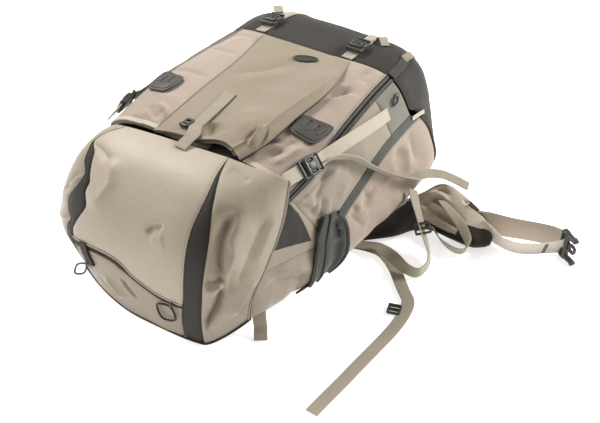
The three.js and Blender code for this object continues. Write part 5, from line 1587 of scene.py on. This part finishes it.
def add_lid():
    clear, clear_length = GAP / LID["half"], GAP / LID["length"]

    def zip_line(offset):
        return lambda a: along(LID_ZIP, "a", "t", a) + offset

    field = lid_field(lambda a: 0.0 * a, zip_line(-LID_ZIP_HALF - clear_length))
    panel = Panel(lid_point, field, 145, 135, LID_SCALE, LID_FOLDS, creases=LID_CREASES, puff=1.5,
                  wrinkle=0.9, size=110, seed=21)
    sew(panel, "s0 s1", (3.0,))
    sew(panel, "t0", (7.0,))
    cloth_piece("lid_panel", panel, CLOTH, "lid_cloth")
    piping("lid_zip_cover", 1.7, "lid_cloth", panel.beside("t1", 0.5))
    field = lid_field(zip_line(-LID_ZIP_HALF), zip_line(LID_ZIP_HALF))
    panel = Panel(lid_point, field, 140, 18, LID_SCALE, lift=0.4, puff=0.3, wrinkle=0.2, size=40, seed=22,
                  extra=zip_groove)
    cloth_piece("lid_zip", panel, CLOTH, "zipper_tape")
    stitch(*panel.beside("t0", panel.edges["t0"].max() / 2), "dark", 0.6, TEETH)
    field = lid_field(zip_line(LID_ZIP_HALF + clear_length), lambda a: LID["underfold"] + 0.0 * a)
    panel = Panel(lid_point, field, 130, 90, LID_SCALE, LID_FOLDS, puff=1.0, wrinkle=1.2, size=60, seed=23)
    # The lid's lower face takes the lid cloth darkened with painted shade
    cloth_piece("lid_lower", panel, CLOTH, "lid_cloth_painted_shade")
    piping("lid_zip_edge", 1.1, "lid_cloth", panel.beside("t0", 0.5))
    part = np.linspace(LID_RIM["start"], LID_RIM["end"], LID_RIM["points"])
    facing = outward(lid_point, part, np.full(len(part), LID_RIM["facing_t"]), 0.01)
    rim = (lid_point(part, np.full(len(part), LID_RIM["t"])), facing)
    piping("lid_rim", LID_RIM["radius"], "charcoal_cloth", rim)

    for side, name in SIDES:
        rows = GUSSET[name]

        def strip(s, u):
            t = lerp(GUSSET_TIP, 1, u)
            inner = along(rows, "t", "inner", t) + side * clear
            return lerp(inner, along(rows, "t", "outer", t) - side * clear, s), t

        panel = Panel(lid_point, strip, 24, 110, LID_SCALE, LID_FOLDS, lift=-0.8, puff=0.6, wrinkle=0.7,
                      size=40, seed=24)
        sew(panel, "s0 s1", (2.5,), "dark")
        cloth_piece(f"lid_gusset_{name}", panel, CLOTH, "charcoal_cloth")

        def wall(s, t):
            return lerp(along(rows, "t", "outer", t) + side * clear, side * 2, s), t

        panel = Panel(lid_point, wall, *spans(side, 110, 140), LID_SCALE, LID_FOLDS, creases=LID_CREASES,
                      puff=1.2, wrinkle=1.4, size=70, seed=25 + side)
        sew(panel, "s0 t0", (3.0,))
        sew(panel, "s1", (10.0,))
        # The lid's sides and their seams take the lid cloth darkened with painted shade
        cloth_piece(f"lid_side_{name}", panel, CLOTH, "lid_cloth_painted_shade")
        piping(f"lid_seam_{name}", 1.2, "lid_cloth_painted_shade", panel.beside("s1", 1), panel.beside("s1", 6))
        # A near-black cord in the seam's gap between the two pipings: painted shade
        piping(f"lid_seam_painted_shadow_{name}", 1.0, "pull_cord", panel.beside("s1", 3.5))

    line, normals = laid(lid_point, LID_ZIP_END["far"], LID_ZIP_END["near"], LID_ZIP_END["clearance"], 8)
    band("lid_zip_end", "charcoal_cloth", line, normals, LID_ZIP_END["width"], thick=LID_ZIP_END["thick"])
    for name, pull in LID_PULLS.items():
        place = pull.get("t", float(along(LID_ZIP, "a", "t", pull["a"])))
        spot = surface_frame(lid_point, pull["a"], place)
        zip_pull(name, spot, CLEARANCE["lid_pull"], pull)


def zip_pull(name, spot, clearance, pull):
    """A slider with its loop of cord."""
    shape = Shape()
    for look, (points, faces) in enumerate((zip_slider(), pull_loop(pull["width"], pull["loop"]))):
        shape.add(settle(points, spot, clearance, pull["turn"]), faces, look=look)
    return shape.piece(name + "_moulding", "buckle_plastic", (name,), ("pull_cord",), sharp=50)


def laid(carrier, start, end, clearance, steps):
    """Points and facings of a line laid on a surface, kept clear of it by one height or by a few along it."""
    part = np.linspace(0, 1, steps + 1)
    u, v = (lerp(a, b, part) for a, b in zip(start, end))
    normals = outward(carrier, u, v, 0.01)
    heights = np.atleast_1d(clearance)
    height = np.interp(part, np.linspace(0, 1, len(heights)), heights) + WEB["thick"] / 2
    return carrier(u, v) + normals * height[:, None], normals


def sewn_end(line, normals, width, rows):
    """Stitches round the first rows of a band."""
    tangent = unit(np.gradient(line, axis=0))
    across = unit(np.cross(tangent, normals)) * (width / 2 - 2)
    face = line + normals * WEB["thick"] / 2
    for side in (-1, 1):
        stitch((face + side * across)[:rows], normals[:rows])
    for row in (1, rows - 1):
        stitch(np.array([face[row] - across[row], face[row] + across[row]]), normals[[row, row]])


def add_pocket():
    panel = Panel(pocket_point, lambda s, t: (s, t), 130, 150, POCKET_SCALE, POCKET_FOLDS, puff=1.2,
                  wrinkle=1.3, size=80, seed=31, extra=pocket_hem)
    sew(panel, "s0 t0", (3.0,))
    sew(panel, "t1", (9.0,))
    cloth_piece("front_pocket", panel, CLOTH, "olive_cloth")
    # A charcoal band under the pocket's right edge, as painted shadow in the gap
    line, normals = (value[POCKET_EDGE_SHADOW["start"]:] for value in panel.beside("s1", POCKET_EDGE_SHADOW["inset"]))
    facing = np.cross(unit(np.gradient(line, axis=0)), normals)
    facing = facing * np.sign(facing[:, :1])
    line = line - normals * (CLOTH + POCKET_EDGE_SHADOW["height"] / 2)
    band("pocket_edge_painted_shadow", "charcoal_cloth", line, facing, POCKET_EDGE_SHADOW["height"], thick=POCKET_EDGE_SHADOW["thick"])
    piping("pocket_seam", 0.8, "grey_cloth", panel.beside("s0", 0.4))
    binding("pocket_hem", panel, "t1", 8, 2.4, "olive_cloth")
    line, normals = panel.beside("t1", 1)
    inside = slice(*(int(MOUTH_TRIM[k] * len(line)) for k in ("start", "end")))
    line, normals = line[inside] - normals[inside] * MOUTH_TRIM["drop"], normals[inside]
    band("pocket_trim_band", "grey_cloth", line, normals, WEB["trim"], ("pocket_trim",))

    # The near-black sheet under the pocket's mouth is painted shade
    def mouth(s, t):
        return lerp(*POCKET_MOUTH_SHADE["girth"], s), lerp(*POCKET_MOUTH_SHADE["length"], t)

    lining = Panel(pack_point, mouth, 40, 24, BODY_SCALE, lift=POCKET_MOUTH_SHADE["lift"], puff=0.3, wrinkle=0.4,
                   seed=33)
    cloth_piece("pocket_mouth_painted_shade", lining, CLOTH, "pull_cord", nodes=())


def add_badge():
    angle = np.linspace(0, 2 * np.pi, BADGE["points"], endpoint=False)
    oval = np.stack([BADGE["half_width"] * np.cos(angle), BADGE["half_length"] * np.sin(angle)], axis=1)
    field = oval * BADGE["field"]
    rim = moulding([oval, field], 0, BADGE["thick"] + 0.4, 0.6)
    floor = moulding([field], 0, BADGE["thick"] - 0.6, 0.3)
    spot = surface_frame(pocket_point, *BADGE["place"])
    badge = Shape()
    for look, (points, faces) in enumerate((rim, floor)):
        badge.add(settle(points, spot, CLEARANCE["badge"], 90), faces, look=look)
    badge.piece("badge_moulding", "moulded_rubber", ("badge",), ("buckle_plastic",), sharp=50)


def add_front_strap():
    line, normals = laid(pocket_point, FRONT_STRAP["far"], FRONT_STRAP["near"], CLEARANCE["front"], 30)
    sewn_end(line, normals, WEB["narrow"], 5)
    line = np.concatenate([line[::3], FRONT_STRAP_END])
    normals = np.concatenate([normals[::3], repeated([0, 0, 1], FRONT_STRAP_END)])
    rows = smooth_line(line, 3)
    smooth, facing = curve_at(line, rows), unit(curve_at(normals, rows))
    band("front_strap_band", "tan_cloth", smooth, facing, WEB["narrow"], ("front_strap",))
    # A near-black strip under the strap's right edge, as painted shadow
    across = unit(np.cross(unit(np.gradient(line, axis=0)), normals))
    across = across * np.sign(across[:, :1]) * FRONT_STRAP_SHADOW["offset"]
    shaded = slice(0, FRONT_STRAP_SHADOW["rows"])
    shadow_strip = (line + across - normals * FRONT_STRAP_SHADOW["drop"])[shaded]
    band("front_strap_painted_shadow", "pull_cord", shadow_strip, normals[shaded], WEB["narrow"], thick=FRONT_STRAP_SHADOW["thick"])
    points, faces = ladder_lock(FRONT_LOCK["webbing"])
    spot = surface_frame(pocket_point, *FRONT_LOCK["place"])
    hardware("front_lock", settle(points, spot, CLEARANCE["front"]), faces)


def add_lash_patches():
    """Moulded patches with two slots, a bridge between them, lobes beside them and a stepped rim."""
    corners = np.array(PATCH_OUTLINE, float)
    drawn = curve_at(looped(corners), np.linspace(2, len(corners) + 2, LASH_PATCH["points"], endpoint=False))
    slot, length = LASH_PATCH["slot"], LASH_PATCH["slot_length"]
    slots = [rounded(slot, length, 2, end * LASH_PATCH["spread"]) for end in (-1, 1)]
    base = moulding([drawn], -1.5, 1.2, 0.9)
    raised = moulding([drawn * LASH_PATCH["step"], *slots], 0.8, LASH_PATCH["thick"], 0.9)
    bridge = plate(6, length + 5, corner=2.8, low=1, high=3.6, edge=1.2)
    lobes = [plate(5, size, corner=2.4, low=1, high=3.4, edge=1.1, x=x, y=y) for x, y, size in PATCH_LOBES]
    points, faces = gathered(base, raised, bridge, *lobes)
    for side, name in SIDES:
        turned = settle(points * [side, 1, 1], surface_frame(pack_point, *PATCHES[name]), CLEARANCE["patch"])
        hardware(f"lash_patch_{name}", turned, faces, "moulded_rubber")


def add_lid_straps():
    points, faces = side_release(WEB["narrow"])
    places = [LID_STRAP[k] for k in ("sewn", "end", "buckle", "tab_far", "tab_near")]
    for side, name in SIDES:
        shift = 0 if side > 0 else LID_STRAP["left_shift"]
        sewn, end, buckle, tab_far, tab_near = ((side * (girth + shift), length) for girth, length in places)
        line, normals = laid(pack_point, sewn, end, CLEARANCE["strap"], 60)
        sewn_end(line, normals, WEB["narrow"], 7)
        band(f"lid_strap_{name}_band", "pale_webbing", line, normals, WEB["narrow"], (f"lid_strap_{name}",))
        spot = surface_frame(pack_point, *buckle)
        fastened = settle(points, spot, CLEARANCE["buckle"], side * LID_STRAP["turn"])
        hardware(f"lid_buckle_{name}", fastened, faces)
        line, normals = laid(pack_point, tab_far, tab_near, CLEARANCE["tab"], 10)
        end_name = f"lid_strap_end_{name}"
        band(end_name + "_band", "pale_webbing", line, normals, WEB["narrow"], (end_name,))


def short_loop(carrier, place, turn, width):
    """A short loop of webbing that stands on a surface."""
    spot = surface_frame(carrier, *place)
    line = settle(LOOP_LINE, spot, 1, turn)
    return ribbon(line, repeated(spot["normal"], line), width)


def add_lash_straps():
    """Lash straps from the pocket's far edge under their buckles and down the boot, with loops above."""

    def carrier(girth, part):
        return body_point(girth, part * DOME["arc"])

    points, faces = side_release(WEB["lash"])
    for _, name in SIDES:
        start, end, buckle = ((LASH[name], LASH[k] / DOME["arc"]) for k in ("near", "far", "buckle"))
        strap = Shape().add(*ribbon(*laid(carrier, start, end, CLEARANCE["lash"], 60), WEB["lash"]))
        strap.add(*short_loop(carrier, *LASH_LOOPS[name]))
        strap.piece(f"lash_strap_{name}_band", "webbing", (f"lash_strap_{name}",))
        spot = surface_frame(carrier, *buckle)
        hardware(f"lash_buckle_{name}", settle(points, spot, CLEARANCE["lash_buckle"]), faces)
    for name, (start, end, clearance, steps, width, slot) in BOOT_ENDS.items():
        band(name, slot, *laid(boot_point, start, end, clearance, steps), width)
    Shape().add(*short_loop(boot_point, *BOOT_LOOP)).piece("boot_tab", "webbing")


def add_side_pulls():
    for name, pull in PULLS.items():
        girth, length = beside_zip(pull["part"], 2) if "part" in pull else (pull["girth"], pull["length"])
        spot = surface_frame(pack_point, float(girth), float(length))
        zip_pull(name, spot, CLEARANCE["side_pull"], pull)


# Padded harness
PAD_ASPECT = 0.35
WING_SCALE = (75, 200)
WING_WEAVE = (90, 200)
WING_CRUMPLE = {"height": 1.2, "size": 40, "seed": 51}
SHOULDER_GROOVE = {"place": 0.38, "width": 0.03, "depth": 1.4}


def pad_rings(near, far, thick, squareness, sides):
    """Rings of a pad between two edges: points, up directions, places across (0 to 1) and heights."""
    ahead = unit(np.gradient((near + far) / 2, axis=0))
    up = unit(np.cross(ahead, far - near))
    up = up * np.sign(up[:, 2:])
    fine = np.linspace(0, 2 * np.pi, 3001)
    power = 2 / squareness
    outline = [signed_power(np.cos(fine), power), PAD_ASPECT * signed_power(np.sin(fine), power)]
    run = run_along(np.stack(outline, axis=1))
    angle = np.interp(np.linspace(0, run[-1], sides, endpoint=False), run, fine)
    across, rise = signed_power(np.cos(angle), power) / 2, signed_power(np.sin(angle), power)
    points = (near + far)[:, None] / 2 + (far - near)[:, None] * across[None, :, None]
    return points + up[:, None] * (thick[:, None] * rise[None] / 2)[..., None], up, across + 0.5, rise


def add_wing(side, name, shift):
    """A hip belt wing: pleated tan cloth above, lightened with painted light, charcoal at its root, front and
    tip.
    """
    steps, sides = spans(side, 200, 150)
    rows = np.linspace(0, len(WING["thick"]) - 1, steps + 1)
    near, far = (
        curve_at(points_of(WING, f"{edge}_x {edge}_y {edge}_z"), rows) * [side, 1, 1] + [shift, 0, 0]
        for edge in ("near", "far")
    )
    thick = curve_at(WING["thick"][:, None], rows)[:, 0]
    points, up, across, rise = pad_rings(near, far, thick, 3, sides)
    part = np.linspace(0, 1, steps + 1)[:, None]
    top = np.clip(rise, 0, 1)[None]
    crumpled = WING_CRUMPLE["height"] * crumple(points, WING_CRUMPLE["size"], WING_CRUMPLE["seed"])
    pleats = fold_height(across[None], part, WING_SCALE, WING_FOLDS) + crumpled
    points = points + up[:, None] * (pleats * top)[..., None]
    edge = np.interp(part, WING_EDGE["part"], WING_EDGE["near"])
    patch = np.interp(part, (WING_PATCH["start"], WING_PATCH["end"]), (WING_PATCH["low"], 1))
    patched = (part > WING_PATCH["start"]) & (across[None] > patch)
    dark = (across[None] < edge) | (rise[None] < -0.2) | patched
    faces = ring_faces(steps + 1, sides)
    looks = np.concatenate([dark[:-1].ravel(), [True, True]]).astype(int)
    weave = np.stack(np.broadcast_arrays(across[None] * WING_WEAVE[0], part * WING_WEAVE[1]), axis=-1)
    made = Shape().add(points, faces, weave, looks).piece(
        f"hip_wing_{name}_pad", "wing_tan_painted_light", (f"hip_wing_{name}",), ("charcoal_cloth",), sharp=70)


def add_shoulder_strap(side, name):
    steps, sides = 90, 48
    rows = np.linspace(0, len(SHOULDER["x"]) - 1, steps + 1)
    x, y, width = (curve_at(SHOULDER[c][:, None], rows)[:, 0] for c in ("x", "y", "width"))
    z = SHOULDER_PAD["low"] + SHOULDER_PAD["thick"] / 2
    near, far = (point(side * x + reach * width / 2, y, z) for reach in (-1, 1))
    thick = np.full(steps + 1, SHOULDER_PAD["thick"])
    points, up, across, rise = pad_rings(near, far, thick, 4, sides)
    off = (np.abs(across - 0.5) - SHOULDER_GROOVE["place"]) / SHOULDER_GROOVE["width"]
    groove = SHOULDER_GROOVE["depth"] * np.exp(-(off**2)) * np.sign(rise)
    points = points - up[:, None] * groove[None, :, None]
    made = Shape().add(points, ring_faces(steps + 1, sides)).piece(
        f"shoulder_strap_{name}_pad", "charcoal_cloth", (f"shoulder_strap_{name}",), sharp=70)


add_stage()
add_cords()
add_body_shell()
for side, name in SIDES:
    add_body_side(side, name)
add_zip_mouth()
add_lid()
add_pocket()
add_badge()
add_front_strap()
add_lash_patches()
add_lid_straps()
add_lash_straps()
add_side_pulls()
for side, name in SIDES:
    add_wing(side, name, WING_SHIFT[name])
for side, name in SIDES:
    add_shoulder_strap(side, name)
THREADS["pale"].piece("stitching_pale", "pale_webbing")
THREADS["dark"].piece("stitching_dark", "pull_cord")
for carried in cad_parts.values():
    carried.data.materials.clear()
    carried.data.materials.append(MATERIALS["buckle_plastic"])
